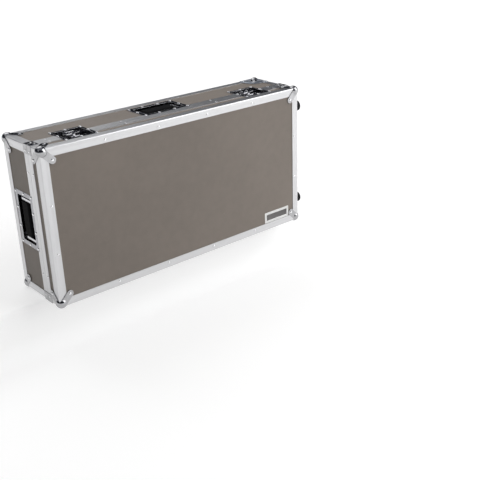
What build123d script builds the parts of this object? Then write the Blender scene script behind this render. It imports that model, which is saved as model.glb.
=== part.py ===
from build123d import *
import os

# Road case for a guitar pedal board: a shallow lid hinged to a deep base.
#
# Laminated plywood panels are held in rounded double-angle edge rails. The two halves
# meet in a tongue rail and a groove rail. Ball corners, recessed butterfly latches,
# recessed sprung handles, butt hinges, rubber feet and a foam lining complete the case.
#
# All lengths are in millimetres. X runs along the length, Y from the lid's face to the
# back of the base, Z up. The case stands on the long side that carries the hinges.


# ---------------------------------------------------------------- driving dimensions
shell_width = 930.0  # outside of the edge rails, along X
shell_depth = 210.0  # lid face to back face, along Y
shell_height = 460.0  # along Z
lid_depth = 65.0  # lid face to the parting line
panel_thickness = 9.0
panel_play = 0.1  # a panel's slack in its channel
stop_play = 0.2  # a panel's edge to the stop wall of its channel

edge_leg = 24.5  # outer leg of an edge rail
rail_wall = 1.5  # outer wall of every rail
inner_wall = 1.2  # inner wall of every rail
inner_reach = 22.0  # inner leg of an edge rail, from the outside of the shell
ridge_radius = 3.5
mitre_gap = 0.1  # between two mitred rails

parting_leg = 21.0  # outer leg of a tongue or groove rail
parting_gap = 0.4  # each rail's face stands this far from the parting line
parting_reach = 16.0  # inner leg of a tongue or groove rail
stop_wall_at = 6.0  # parting line to the stop wall inside the rail
tongue_thickness = 3.2
tongue_reach = 3.4  # tip of the tongue beyond the parting line
tongue_taper = 0.7
groove_clearance = 1.0  # lets the tongue swing in and out about the hinge pin
groove_wall = 1.0

ball_radius = 16.5
ball_inset = 10.5  # centre of the ball inside each of its three faces
corner_sheet = 1.5
petal_width = 21.0
petal_rivet_at = 35.0  # rivet from each of the two edges beside it

brace_leg = 26.0
brace_sheet = 1.2
brace_margin = 1.0  # brace to the ends of the rail it covers

rivet_head_radius = 4.4
rivet_head_height = 2.0
rivet_head_top = 2.6  # radius of the head's flat top
rivet_shank_radius = 2.0
rivet_clearance = 0.1

dish_sheet = 1.2
dish_clearance = 0.5  # a pan in its cut-out
joint_gap = 0.5  # each half of a latch dish stands this far from the parting line
rail_notch_gap = 0.3  # a latch flange in the notch of the rail

latch_from_end = 145.0  # latch centre from each end of the case
latch_width = 104.0
latch_base_reach = 60.0  # parting line to the far edge of the base half
latch_edge_room = 1.0  # lid half of the dish to the front edge rail
latch_rim = 9.0  # flange around the pan
latch_depth = 13.0
latch_corner = 6.0
rotor_at = 25.5  # rotor centre from the parting line
rotor_radius = 15.0
rotor_thickness = 2.0
post_radius = 3.0
pivot_clearance = 0.06
post_head_radius = 4.5
post_head_height = 1.0
boss_radius = 14.0
boss_height = 5.3
hook_clearance = 0.3  # hook above the boss, and its nose above the keeper
hook_width = 26.0
hook_thickness = 2.0
hook_reach = 17.0  # nose of the hook beyond the parting line
hook_end = 4.2  # tail of the hook behind the end of its slot
nose_thickness = 2.4
crank_throw = 5.5  # eccentric pin from the rotor's centre
crank_pin_radius = 1.5
crank_slot_clearance = 1.2  # the hook moves evenly, the pin on a circle
keeper_height = 2.7
keeper_thickness = 2.2
keeper_gap = 1.2  # nose of the hook to the keeper, along Y
guide_thickness = 1.5
guide_height = 8.0
wing_pivot_at = 8.0  # wing pivot behind the rotor's centre
wing_pin_radius = 1.0
wing_thickness = 2.4
wing_knuckle_radius = 1.9
knuckle_clearance = 0.2  # knuckle above the turnplate
wing_sweep_radius = 24.0
wing_front = 13.0  # front edge of the wing from the rotor's centre
wing_waist = 20.4  # width between the ears
ear_thickness = 2.0
ear_width = 4.4
ear_over_pin = 2.0  # top of an ear above the pin
ear_clearance = 1.2  # lobes of the wing to the ears they swing past

handle_length = 164.0
handle_corner = 8.0
handle_rim = 13.0
handle_depth = 16.0
top_handle_at = 9.0  # parting line to the near edge of the top dish
end_handle_at = 15.5  # parting line to the near edge of the end dish
handle_margin = 3.0  # end dish to the back edge rail
finger_room = 13.0  # free edge of the grip to the wall of the pan
hinge_room = 23.0  # other edge of the grip to the wall beside the pivot
bail_pivot_room = 8.0  # pivot to the wall beside it
bail_arm_width = 12.0
bail_arm_thickness = 7.0
bail_rod_radius = 4.0
stud_radius = 2.5
spring_room = 6.5  # outer face of an arm to the end of the pan
grip_end_gap = 3.0  # grip to each arm
grip_thickness = 15.0
grip_corner = 6.5
grip_chamfer = 2.0
grip_floor_gap = 0.5  # folded grip to the floor of the pan
grip_clearance = 0.05
spring_inner_radius = 2.8
spring_outer_radius = 4.4
spring_coils = 3
spring_end_gap = 0.5

hinge_length = 60.0
hinge_count = 3
hinge_spacing = 330.0
hinge_leaf = 18.0  # parting line to the edge of a leaf
hinge_sheet = 1.2
hinge_pin_radius = 1.2
hinge_knuckle_radius = 2.4
hinge_face_gap = 0.1  # knuckle to the face of the shell
hinge_knuckle_gap = 0.3
hinge_leaf_clear = 0.6  # leaf to the other half's knuckle

foot_radius = 19.0
foot_height = 25.0
foot_top_radius = 17.3
foot_from_edge = 69.0  # foot centre from the nearer edge of its face
end_foot_inset = 30.0  # end feet from the lid's face and from the back
foot_bore_radius = 6.0
foot_bore_depth = 17.0

floor_foam = 12.0
lid_foam_thickness = 20.0
foam_gap = 0.2  # foam to the rails and panels that hold it
end_foam = 43.0  # at each end of the board
side_foam = 32.0  # above and below the board
foam_below_rim = 9.0

# ---------------------------------------------------------------- places in the frame
ball_standoff = ball_radius - ball_inset
back_foot_standoff = foot_height - rail_wall
x_left = -(shell_width + foot_height - ball_standoff) / 2
x_right = x_left + shell_width
y_front = -(shell_depth + back_foot_standoff - ball_standoff) / 2
y_back = y_front + shell_depth
z_bottom = ball_standoff
z_top = z_bottom + shell_height
y_part = y_front + lid_depth
x_middle = (x_left + x_right) / 2
z_middle = (z_bottom + z_top) / 2

channel = rail_wall + panel_thickness + panel_play  # depth of the inner leg
lining = channel + inner_wall  # deepest face of a rail
panel_edge = lining + stop_play  # panel edge from the outside of the shell
panel_stop = stop_wall_at + inner_wall + stop_play  # panel edge from the parting line
foam_depth = lining + foam_gap

LEFT, RIGHT = Vector(-1, 0, 0), Vector(1, 0, 0)
FRONT, BACK = Vector(0, -1, 0), Vector(0, 1, 0)
DOWN, UP = Vector(0, 0, -1), Vector(0, 0, 1)
LOW = (Align.MIN, Align.MIN)

handle_width = shell_depth - lid_depth - end_handle_at - handle_margin - edge_leg
top_handle_y = y_part + top_handle_at + handle_width / 2
end_handle_y = y_part + end_handle_at + handle_width / 2
top_handle_face = Plane((x_middle, top_handle_y, z_top - rail_wall), x_dir=RIGHT, z_dir=UP)
end_handle_face = Plane((x_left + rail_wall, end_handle_y, z_middle), x_dir=UP, z_dir=LEFT)
pan_length = handle_length - 2 * handle_rim
pan_width = handle_width - 2 * handle_rim

os.makedirs("parts", exist_ok=True)


def save(name, part):
    """Label a finished piece and write its STEP file."""
    part.label = name
    export_step(part, f"parts/{name}.step")


def rectangle(low, high, mode=Mode.ADD):
    """A rectangle of the active sketch, given by two opposite corners."""
    with Locations(low):
        Rectangle(high[0] - low[0], high[1] - low[1], align=LOW, mode=mode)


def copy_to_four_corners():
    """Mirror the active part to the other end of the case and to its other long side."""
    mirror(about=Plane.YZ.offset(x_middle))
    mirror(about=Plane.XY.offset(z_middle))


# ---------------------------------------------------------------- rails
def edge_section(sketch):
    """Double angle: two outer legs, and a box whose walls run on as the inner legs."""
    rectangle((0, 0), (edge_leg, edge_leg))
    fillet(sketch.vertices().sort_by_distance((0, 0))[0], ridge_radius)
    rectangle((rail_wall, rail_wall), (edge_leg, edge_leg), mode=Mode.SUBTRACT)
    fillet(sketch.vertices().sort_by_distance((rail_wall, rail_wall))[0], ridge_radius - rail_wall)
    rectangle((rail_wall, channel), (inner_reach, lining))
    rectangle((channel, rail_wall), (lining, inner_reach))


def mitre_plane(corner, inward, face):
    """The plane that bisects two rails at a corner, moved by half the gap between them."""
    normal = (inward - face).normalized()
    return Plane(corner + normal * mitre_gap / 2, z_dir=normal)


def edge_rail(start, end, first, second, mitre_both=True):
    """An edge rail from start to end. first and second point into its two faces."""
    along = (end - start).normalized()
    if first.cross(second).dot(along) < 0:
        first, second = second, first
    with BuildPart() as rail:
        with BuildSketch(Plane(start, x_dir=first, z_dir=along)) as section:
            edge_section(section)
        extrude(amount=(end - start).length)
        ends = [(start, along), (end, -along)]
        for corner, inward in ends if mitre_both else ends[:1]:
            for face in (first, second):
                split(bisect_by=mitre_plane(corner, inward, face), keep=Keep.TOP)
    return rail.part


def parting_legs():
    """What a tongue rail and a groove rail share. Local X leads away from the parting
    line, local Y into the case."""
    rectangle((parting_gap, 0), (parting_leg, rail_wall))
    rectangle((parting_gap, channel), (parting_reach, lining))
    rectangle((stop_wall_at, 0), (stop_wall_at + inner_wall, channel))


def tongue_section():
    """Legs with a tapered tongue on the face."""
    middle = rail_wall + panel_thickness / 2
    root = tongue_thickness / 2
    parting_legs()
    rectangle((parting_gap, 0), (parting_gap + inner_wall, lining))
    Polygon(
        (parting_gap + inner_wall, middle - root),
        (parting_gap, middle - root),
        (-tongue_reach, middle - root + tongue_taper),
        (-tongue_reach, middle + root - tongue_taper),
        (parting_gap, middle + root),
        (parting_gap + inner_wall, middle + root),
        align=None,
    )


def groove_section():
    """Legs with a channel that takes the tongue."""
    middle = rail_wall + panel_thickness / 2
    mouth = tongue_thickness / 2 + groove_clearance
    parting_legs()
    rectangle((parting_gap, 0), (parting_gap + inner_wall, lining))
    channel_half = mouth + groove_wall
    rectangle((parting_gap, middle - channel_half), (stop_wall_at, middle + channel_half))
    rectangle((0, middle - mouth), (stop_wall_at, middle + mouth), mode=Mode.SUBTRACT)


def parting_rail(start, end, away, inward, section):
    """A tongue or groove rail along the parting line, mitred at both ends."""
    if (end - start).cross(away).dot(inward) < 0:
        start, end = end, start
    along = (end - start).normalized()
    with BuildPart() as rail:
        with BuildSketch(Plane(start, x_dir=away, z_dir=along)):
            section()
        extrude(amount=(end - start).length)
        for corner, out in ((start, along), (end, -along)):
            split(bisect_by=mitre_plane(corner, out, inward), keep=Keep.TOP)
    return rail.part


def ring_of_edges(y, inward):
    """The four edge rails around the lid's face or around the back."""
    with BuildPart() as ring:
        add(edge_rail(Vector(x_left, y, z_top), Vector(x_right, y, z_top), inward, DOWN))
        add(edge_rail(Vector(x_left, y, z_bottom), Vector(x_right, y, z_bottom), inward, UP))
        add(edge_rail(Vector(x_left, y, z_bottom), Vector(x_left, y, z_top), inward, RIGHT))
        add(edge_rail(Vector(x_right, y, z_bottom), Vector(x_right, y, z_top), inward, LEFT))
    return ring.part


def corner_edges(y, y_end):
    """The four edge rails that run from a face to the parting rails."""
    with BuildPart() as edges:
        add(edge_rail(Vector(x_left, y, z_top), Vector(x_left, y_end, z_top), RIGHT, DOWN, False))
        copy_to_four_corners()
    return edges.part


latch_lid_reach = lid_depth - edge_leg - latch_edge_room


def latch_places():
    """X of the two latches."""
    return (x_left + latch_from_end, x_right - latch_from_end)


def top_parting_rail(away, section):
    """The rail of the top side, notched for the latch dishes."""
    half = latch_width / 2 + rail_notch_gap
    with BuildPart() as rail:
        ends = (Vector(x_left, y_part, z_top), Vector(x_right, y_part, z_top))
        add(parting_rail(*ends, away, DOWN, section))
        with BuildSketch(Plane.XY.offset(z_top)):
            for x in latch_places():
                rectangle((x - half, y_part - parting_leg), (x + half, y_part + parting_leg))
        extrude(amount=-lining, mode=Mode.SUBTRACT)
    return rail.part


def notch_for_handle(rail, face):
    """Cut the outer leg of a groove rail back to the near edge of a handle dish."""
    half = handle_length / 2 + rail_notch_gap
    near = -handle_width / 2 - rail_notch_gap
    with BuildPart() as notched:
        add(rail)
        with BuildSketch(face.offset(rail_wall)):
            rectangle((-half, near), (half, near + parting_leg))
        extrude(amount=-rail_wall, mode=Mode.SUBTRACT)
    return notched.part


def side_parting_rails(away, section):
    """The two rails of the short sides."""
    with BuildPart() as rails:
        for x, inward in ((x_left, RIGHT), (x_right, LEFT)):
            ends = (Vector(x, y_part, z_bottom), Vector(x, y_part, z_top))
            add(parting_rail(*ends, away, inward, section))
    return rails.part


def braces(y_low, y_high):
    """Bent plates over the mitred corners of the parting rails."""
    with BuildPart() as plates:
        with BuildSketch(Plane.XZ.offset(-y_high)) as outline:
            low_z, far_x = z_top - brace_leg, x_left + brace_leg
            rectangle((x_left - brace_sheet, low_z), (far_x, z_top + brace_sheet))
            rectangle((x_left, low_z), (far_x, z_top), mode=Mode.SUBTRACT)
            ridge = (x_left - brace_sheet, z_top + brace_sheet)
            fillet(outline.vertices().sort_by_distance(ridge)[0], brace_sheet)
        extrude(amount=y_high - y_low)
        copy_to_four_corners()
    return plates.part


save("lid_front_edges", ring_of_edges(y_front, BACK))
save("base_back_edges", ring_of_edges(y_back, FRONT))
save("lid_corner_edges", corner_edges(y_front, y_part - parting_leg))
save("base_corner_edges", corner_edges(y_back, y_part + parting_leg))
save("lid_tongue_top", top_parting_rail(FRONT, tongue_section))
save("base_groove_top", notch_for_handle(top_parting_rail(BACK, groove_section), top_handle_face))
bottom_ends = (Vector(x_left, y_part, z_bottom), Vector(x_right, y_part, z_bottom))
save("lid_tongue_bottom", parting_rail(*bottom_ends, FRONT, UP, tongue_section))
save("base_groove_bottom", parting_rail(*bottom_ends, BACK, UP, groove_section))
save("lid_tongue_sides", side_parting_rails(FRONT, tongue_section))
save("base_groove_sides", notch_for_handle(side_parting_rails(BACK, groove_section), end_handle_face))
save("lid_braces", braces(y_part - parting_leg + brace_margin, y_part - brace_margin))
save("base_braces", braces(y_part + brace_margin, y_part + parting_leg - brace_margin))

# ---------------------------------------------------------------- panels
def face_panel(y_outer):
    """A large panel. y_outer is its outer face; it is as thick as the others."""
    low = (x_left + panel_edge, z_bottom + panel_edge)
    high = (x_right - panel_edge, z_top - panel_edge)
    with BuildPart() as panel:
        with BuildSketch(Plane.XZ.offset(-y_outer)):
            rectangle(low, high)
        extrude(amount=-panel_thickness)
    return panel.part


def side_panel(plane, low, high):
    """A long narrow panel of the lid or the base, from its outer face inward."""
    with BuildPart() as panel:
        with BuildSketch(plane):
            rectangle(low, high)
        extrude(amount=-panel_thickness)
    return panel.part


def end_panel(x_outer, into, y_low, y_high):
    """A short panel, from its outer face inward."""
    with BuildPart() as panel:
        with BuildSketch(Plane.YZ.offset(x_outer)):
            rectangle((y_low, z_bottom + panel_edge), (y_high, z_top - panel_edge))
        extrude(amount=into * panel_thickness)
    return panel.part


def cut_handle_opening(panel, face):
    """Cut the opening of a handle's pan through a panel."""
    with BuildPart() as cut:
        add(panel)
        with BuildSketch(face):
            opening = 2 * (dish_sheet + dish_clearance)
            RectangleRounded(pan_length + opening, pan_width + opening, handle_corner)
        extrude(amount=-panel_thickness, mode=Mode.SUBTRACT)
    return cut.part


def cut_latch_openings(panel, y_low, y_high):
    """Cut the openings of the latch pans into the edge of a top panel."""
    half = latch_width / 2 - latch_rim + dish_sheet + dish_clearance
    with BuildPart() as cut:
        add(panel)
        with BuildSketch(Plane.XY.offset(z_top - rail_wall)):
            for x in latch_places():
                rectangle((x - half, y_low), (x + half, y_high))
        extrude(amount=-panel_thickness, mode=Mode.SUBTRACT)
    return cut.part


lid_edges_y = (y_front + panel_edge, y_part - panel_stop)
base_edges_y = (y_part + panel_stop, y_back - panel_edge)
pan_margin = dish_sheet + dish_clearance - latch_rim
top_face = Plane.XY.offset(z_top - rail_wall)
bottom_face = Plane.XY.offset(z_bottom + rail_wall + panel_thickness)
x_span = (x_left + panel_edge, x_right - panel_edge)

save("lid_front_panel", face_panel(y_front + rail_wall))
save("base_back_panel", face_panel(y_back - rail_wall - panel_thickness))
lid_top = side_panel(top_face, (x_span[0], lid_edges_y[0]), (x_span[1], lid_edges_y[1]))
base_top = side_panel(top_face, (x_span[0], base_edges_y[0]), (x_span[1], base_edges_y[1]))
base_top = cut_latch_openings(base_top, base_edges_y[0], y_part + latch_base_reach + pan_margin)
lid_top = cut_latch_openings(lid_top, y_part - latch_lid_reach - pan_margin, lid_edges_y[1])
save("lid_top_panel", lid_top)
save("base_top_panel", cut_handle_opening(base_top, top_handle_face))
lid_bottom = side_panel(bottom_face, (x_span[0], lid_edges_y[0]), (x_span[1], lid_edges_y[1]))
base_bottom = side_panel(bottom_face, (x_span[0], base_edges_y[0]), (x_span[1], base_edges_y[1]))
save("lid_bottom_panel", lid_bottom)
save("base_bottom_panel", base_bottom)
save("lid_left_panel", end_panel(x_left + rail_wall, 1, *lid_edges_y))
save("lid_right_panel", end_panel(x_right - rail_wall, -1, *lid_edges_y))
base_left = end_panel(x_left + rail_wall, 1, *base_edges_y)
save("base_left_panel", cut_handle_opening(base_left, end_handle_face))
save("base_right_panel", end_panel(x_right - rail_wall, -1, *base_edges_y))


# ---------------------------------------------------------------- ball corners and rivets
def corner_faces(inward):
    """The plane of each face at a corner. Local X is the diagonal that a petal follows."""
    for normal in inward:
        first, second = [direction for direction in inward if direction is not normal]
        yield first + second, -normal


def ball_corner(corner, inward):
    """Ball corner with a riveted petal on each of the three faces."""
    across = 2 ** 0.5
    inside = inward[0] + inward[1] + inward[2]
    body = petal_rivet_at + petal_width
    with BuildPart() as piece:
        with Locations(corner + inside * ball_inset):
            Sphere(ball_radius)
        for diagonal, normal in corner_faces(inward):
            with BuildSketch(Plane(corner, x_dir=diagonal, z_dir=normal)):
                with Locations(((petal_rivet_at + ball_inset) * across / 2, 0)):
                    SlotCenterToCenter((petal_rivet_at - ball_inset) * across, petal_width)
                with Locations((petal_rivet_at * across, 0)):
                    Circle(rivet_shank_radius + rivet_clearance, mode=Mode.SUBTRACT)
            extrude(amount=corner_sheet)
        with Locations(corner + inside * body / 2):
            Box(body, body, body, mode=Mode.SUBTRACT)
    return piece.part


def corner_rivets(corners):
    """A rivet through each petal: its head on the petal, its shank down on the panel."""
    along = petal_rivet_at * 2 ** 0.5
    shank = corner_sheet + rail_wall
    with BuildPart() as rivets:
        for corner, inward in corners:
            for diagonal, normal in corner_faces(inward):
                centre = corner + normal * corner_sheet + diagonal.normalized() * along
                with BuildSketch(Plane(centre, x_dir=diagonal, z_dir=diagonal.cross(normal))):
                    Polygon(
                        (0, -shank),
                        (rivet_shank_radius, -shank),
                        (rivet_shank_radius, 0),
                        (rivet_head_radius, 0),
                        (rivet_head_top, rivet_head_height),
                        (0, rivet_head_height),
                        align=None,
                    )
                revolve(axis=Axis(centre, normal))
    return rivets.part


def corners_of(y, inward_y):
    """Name, place and inward directions of the four corners of one face."""
    for end, x, inward_x in (("left", x_left, RIGHT), ("right", x_right, LEFT)):
        for level, z, inward_z in (("top", z_top, DOWN), ("bottom", z_bottom, UP)):
            yield f"{level}_{end}", Vector(x, y, z), (inward_x, inward_y, inward_z)


for half, y, inward_y in (("lid", y_front, BACK), ("base", y_back, FRONT)):
    corners = list(corners_of(y, inward_y))
    for name, corner, inward in corners:
        save(f"{half}_ball_{name}", ball_corner(corner, inward))
    save(f"{half}_rivets", corner_rivets([(corner, inward) for name, corner, inward in corners]))


# ---------------------------------------------------------------- latches
latch_pan_half = latch_width / 2 - latch_rim


def dish_outline(sketch, side, half_width, near, far, radius):
    """A rectangle on one side of the parting line, rounded at its two far corners."""
    low, high = sorted((side * near, side * far))
    rectangle((-half_width, low), (half_width, high))
    fillet(sketch.vertices().group_by(Axis.Y)[-1 if side > 0 else 0], radius)


def latch_pan(face, reach, side):
    """One half of a latch dish, open towards the parting line. side is 1 for the base."""
    rim_far, pan_far = reach, reach - latch_rim
    with BuildPart() as pan:
        with BuildSketch(face) as rim:
            dish_outline(rim, side, latch_width / 2, joint_gap, rim_far, latch_corner)
        extrude(amount=dish_sheet)
        with BuildSketch(face) as shell:
            far = pan_far + dish_sheet
            dish_outline(shell, side, latch_pan_half + dish_sheet, joint_gap, far, latch_corner)
        extrude(amount=-(latch_depth + dish_sheet))
        with BuildSketch(face.offset(dish_sheet)) as hollow:
            dish_outline(hollow, side, latch_pan_half, 0, pan_far, latch_corner - dish_sheet)
        extrude(amount=-(latch_depth + dish_sheet), mode=Mode.SUBTRACT)
    return pan.part


def latch_face(x):
    """Panel face at a latch. The origin is on the parting line."""
    return Plane((x, y_part, z_top - rail_wall), x_dir=RIGHT, z_dir=UP)


def latch_floor(x, height=0.0):
    """Plane at a height above the dish floor."""
    return latch_face(x).offset(height - latch_depth)


hook_bottom = boss_height + hook_clearance
rotor_bottom = hook_bottom + hook_thickness + hook_clearance
rotor_top = rotor_bottom + rotor_thickness
nose_bottom = keeper_height + hook_clearance
wing_pivot_height = rotor_top + knuckle_clearance + wing_knuckle_radius


def latch_base_dish(x):
    """Base half of the dish with the boss, the rotor's post and the hook's guides."""
    with BuildPart() as dish:
        add(latch_pan(latch_face(x), latch_base_reach, 1))
        with BuildSketch(latch_floor(x)):
            with Locations((0, rotor_at)):
                Circle(boss_radius)
        extrude(amount=boss_height)
        with BuildSketch(latch_floor(x)):
            with Locations((0, rotor_at)):
                Circle(post_radius)
        extrude(amount=rotor_top + 2 * pivot_clearance)
        with BuildSketch(latch_floor(x, rotor_top + 2 * pivot_clearance)):
            with Locations((0, rotor_at)):
                Circle(post_head_radius)
        extrude(amount=post_head_height)
        with BuildSketch(latch_floor(x)):
            guide_at = hook_width / 2 + hook_clearance
            for low in (guide_at, -guide_at - guide_thickness):
                rectangle((low, guide_thickness * 2), (low + guide_thickness, rotor_at - boss_radius))
        extrude(amount=guide_height)
    return dish.part


def latch_keeper(x):
    """Lid half of the dish with the rib that the hook draws against."""
    rib_front = hook_reach - nose_thickness - keeper_gap
    with BuildPart() as dish:
        add(latch_pan(latch_face(x), latch_lid_reach, -1))
        with BuildSketch(latch_floor(x)):
            rectangle((-hook_width / 2, -rib_front), (hook_width / 2, -rib_front + keeper_thickness))
        extrude(amount=keeper_height)
    return dish.part


def latch_hook(x):
    """Draw plate with a turned-down nose, a slot for the post and one for the crank pin."""
    stroke = 2 * crank_throw
    slot = post_radius + hook_clearance
    slot_end = rotor_at + slot + stroke
    crank_y = rotor_at + crank_throw
    crank_half = crank_pin_radius + crank_slot_clearance
    with BuildPart() as hook:
        with BuildSketch(latch_floor(x, hook_bottom)):
            rectangle((-hook_width / 2, -hook_reach), (hook_width / 2, slot_end + hook_end))
            rectangle((-slot, rotor_at - slot), (slot, slot_end), mode=Mode.SUBTRACT)
            reach = crank_throw + crank_pin_radius + hook_clearance
            rectangle((-reach, crank_y - crank_half), (reach, crank_y + crank_half), mode=Mode.SUBTRACT)
        extrude(amount=hook_thickness)
        with BuildSketch(latch_floor(x, nose_bottom)):
            rectangle((-hook_width / 2, -hook_reach), (hook_width / 2, -hook_reach + nose_thickness))
        extrude(amount=hook_bottom - nose_bottom)
        nose_edge = hook.edges().filter_by(Axis.X).group_by(Axis.Z)[-1].sort_by(Axis.Y)[0]
        fillet(nose_edge, hook_thickness * 0.7)
    return hook.part


def latch_rotor(x):
    """Turnplate with a crank pin below, and two ears with the wing's pin above."""
    with BuildPart() as rotor:
        with BuildSketch(latch_floor(x, rotor_bottom)):
            with Locations((0, rotor_at)):
                Circle(rotor_radius)
                Circle(post_radius + pivot_clearance, mode=Mode.SUBTRACT)
        extrude(amount=rotor_thickness)
        with BuildSketch(latch_floor(x, rotor_bottom)):
            with Locations((0, rotor_at + crank_throw)):
                Circle(crank_pin_radius)
        extrude(amount=hook_clearance - (rotor_bottom - boss_height))
        ear_x = wing_waist / 2 + hook_clearance
        pivot_y = rotor_at + wing_pivot_at
        with BuildSketch(latch_floor(x, rotor_top)):
            for low in (ear_x, -ear_x - ear_thickness):
                near, far = pivot_y - ear_width / 2, pivot_y + ear_width / 2
                rectangle((low, near), (low + ear_thickness, far))
        extrude(amount=wing_pivot_height + ear_over_pin - rotor_top)
        pin_length = 2 * (ear_x + ear_thickness)
        with BuildSketch(wing_pin_plane(x, -pin_length / 2)):
            Circle(wing_pin_radius)
        extrude(amount=pin_length)
    return rotor.part


def wing_pin_plane(x, along):
    """Plane across the wing's pin, a distance along it from the latch's middle."""
    height = z_top - rail_wall - latch_depth + wing_pivot_height
    pivot = (x + along, y_part + rotor_at + wing_pivot_at, height)
    return Plane(pivot, x_dir=BACK, z_dir=RIGHT)


def latch_wing(x):
    """Butterfly grip: two lobes and a knuckle that folds flat over the turnplate."""
    plate_low = wing_pivot_height - wing_thickness / 2
    lobe_back = rotor_at + wing_pivot_at - ear_width / 2 - ear_clearance
    head_window = post_head_radius + 2 * hook_clearance
    with BuildPart() as wing:
        with BuildSketch(latch_floor(x, plate_low)):
            with Locations((0, rotor_at)):
                Circle(wing_sweep_radius)
            lobe_front = rotor_at - wing_front
            rectangle((-wing_sweep_radius, lobe_front), (wing_sweep_radius, lobe_back), Mode.INTERSECT)
            notch = wing_waist / 2
            with Locations((0, lobe_front)):
                Circle(notch / 2, mode=Mode.SUBTRACT)
            rectangle((-notch, lobe_back), (notch, rotor_at + wing_pivot_at))
            with Locations((0, rotor_at)):
                Circle(head_window, mode=Mode.SUBTRACT)
        extrude(amount=wing_thickness)
        with BuildSketch(wing_pin_plane(x, -wing_waist / 2)):
            Circle(wing_knuckle_radius)
        extrude(amount=wing_waist)
        with BuildSketch(wing_pin_plane(x, -wing_waist / 2)):
            Circle(wing_pin_radius + pivot_clearance)
        extrude(amount=wing_waist, mode=Mode.SUBTRACT)
    return wing.part


for side, x in zip(("left", "right"), latch_places()):
    save(f"latch_{side}_dish", latch_base_dish(x))
    save(f"latch_{side}_keeper", latch_keeper(x))
    save(f"latch_{side}_hook", latch_hook(x))
    save(f"latch_{side}_rotor", latch_rotor(x))
    save(f"latch_{side}_wing", latch_wing(x))


# ---------------------------------------------------------------- handles
bail_pivot_at = bail_pivot_room - pan_width / 2  # from the dish's centre line, towards the lid
bail_pivot_depth = handle_depth - grip_floor_gap - grip_thickness / 2
grip_width = pan_width - finger_room - hinge_room
grip_at = pan_width / 2 - finger_room - grip_width / 2
bail_reach = grip_at - bail_pivot_at
arm_span = bail_reach + (grip_width - bail_arm_width) / 2  # an arm ends level with the grip
arm_at = pan_length / 2 - spring_room - bail_arm_thickness  # inner face of an arm
grip_length = 2 * (arm_at - grip_end_gap)


def across_handle(face, along, side, depth):
    """Plane across a handle's length. Local X leads to the back of the case, local Y outward."""
    origin = face.origin + face.x_dir * along + face.y_dir * side - face.z_dir * depth
    return Plane(origin, x_dir=face.y_dir, z_dir=face.x_dir)


def handle_dish(face):
    """Recessed pan with the two studs that the bail turns on."""
    stud_length = pan_length / 2 - arm_at + spring_end_gap
    with BuildPart() as dish:
        with BuildSketch(face):
            RectangleRounded(handle_length, handle_width, handle_corner)
        extrude(amount=dish_sheet)
        with BuildSketch(face):
            RectangleRounded(pan_length + 2 * dish_sheet, pan_width + 2 * dish_sheet, handle_corner - 1)
        extrude(amount=-(handle_depth + dish_sheet))
        with BuildSketch(face.offset(dish_sheet)):
            RectangleRounded(pan_length, pan_width, handle_corner - 1 - dish_sheet)
        extrude(amount=-(handle_depth + dish_sheet), mode=Mode.SUBTRACT)
        for start in (-pan_length / 2, pan_length / 2 - stud_length):
            with BuildSketch(across_handle(face, start, bail_pivot_at, bail_pivot_depth)):
                Circle(stud_radius)
            extrude(amount=stud_length)
    return dish.part


def handle_bail(face):
    """Two arms on the studs, joined by the rod that carries the grip."""
    with BuildPart() as bail:
        for start in (-arm_at - bail_arm_thickness, arm_at):
            arm_middle = bail_pivot_at + arm_span / 2
            with BuildSketch(across_handle(face, start, arm_middle, bail_pivot_depth)):
                SlotCenterToCenter(arm_span, bail_arm_width)
                with Locations((-arm_span / 2, 0)):
                    Circle(stud_radius + pivot_clearance, mode=Mode.SUBTRACT)
            extrude(amount=bail_arm_thickness)
        with BuildSketch(across_handle(face, -arm_at, grip_at, bail_pivot_depth)):
            Circle(bail_rod_radius)
        extrude(amount=2 * arm_at)
    return bail.part


def handle_grip(face):
    """Oval rubber sleeve on the rod, with bevelled ends."""
    end = across_handle(face, -grip_length / 2, grip_at, bail_pivot_depth)
    with BuildPart() as grip:
        with BuildSketch(end):
            RectangleRounded(grip_width, grip_thickness, grip_corner)
        extrude(amount=grip_length)
        chamfer(grip.faces().filter_by(Plane(face.origin, z_dir=face.x_dir)).edges(), grip_chamfer)
        with BuildSketch(end):
            Circle(bail_rod_radius + grip_clearance)
        extrude(amount=grip_length, mode=Mode.SUBTRACT)
    return grip.part


def handle_springs(face):
    """A closed coil on each stud, between the arm and the end of the pan."""
    low = arm_at + bail_arm_thickness + spring_end_gap
    pitch = (pan_length / 2 - spring_end_gap - low) / spring_coils
    axis_at = face.origin + face.y_dir * bail_pivot_at - face.z_dir * bail_pivot_depth
    with BuildPart() as springs:
        for direction in (face.x_dir, -face.x_dir):
            with BuildSketch(Plane(axis_at, x_dir=direction, z_dir=face.y_dir)):
                valley = spring_outer_radius - pitch / 4
                outline = [(low, spring_inner_radius), (low, valley)]
                for coil in range(spring_coils):
                    start = low + coil * pitch
                    outline += [(start + pitch / 2, spring_outer_radius), (start + pitch, valley)]
                Polygon(*outline, (low + spring_coils * pitch, spring_inner_radius), align=None)
            revolve(axis=Axis(axis_at, direction))
    return springs.part


for place, face in (("top", top_handle_face), ("end", end_handle_face)):
    save(f"handle_{place}_dish", handle_dish(face))
    save(f"handle_{place}_bail", handle_bail(face))
    save(f"handle_{place}_grip", handle_grip(face))
    save(f"handle_{place}_springs", handle_springs(face))

# ---------------------------------------------------------------- hinges
hinge_axis_z = z_bottom - hinge_face_gap - hinge_knuckle_radius
hinge_places = [x_middle + (i - (hinge_count - 1) / 2) * hinge_spacing for i in range(hinge_count)]
knuckle_length = hinge_length / 4


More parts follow.
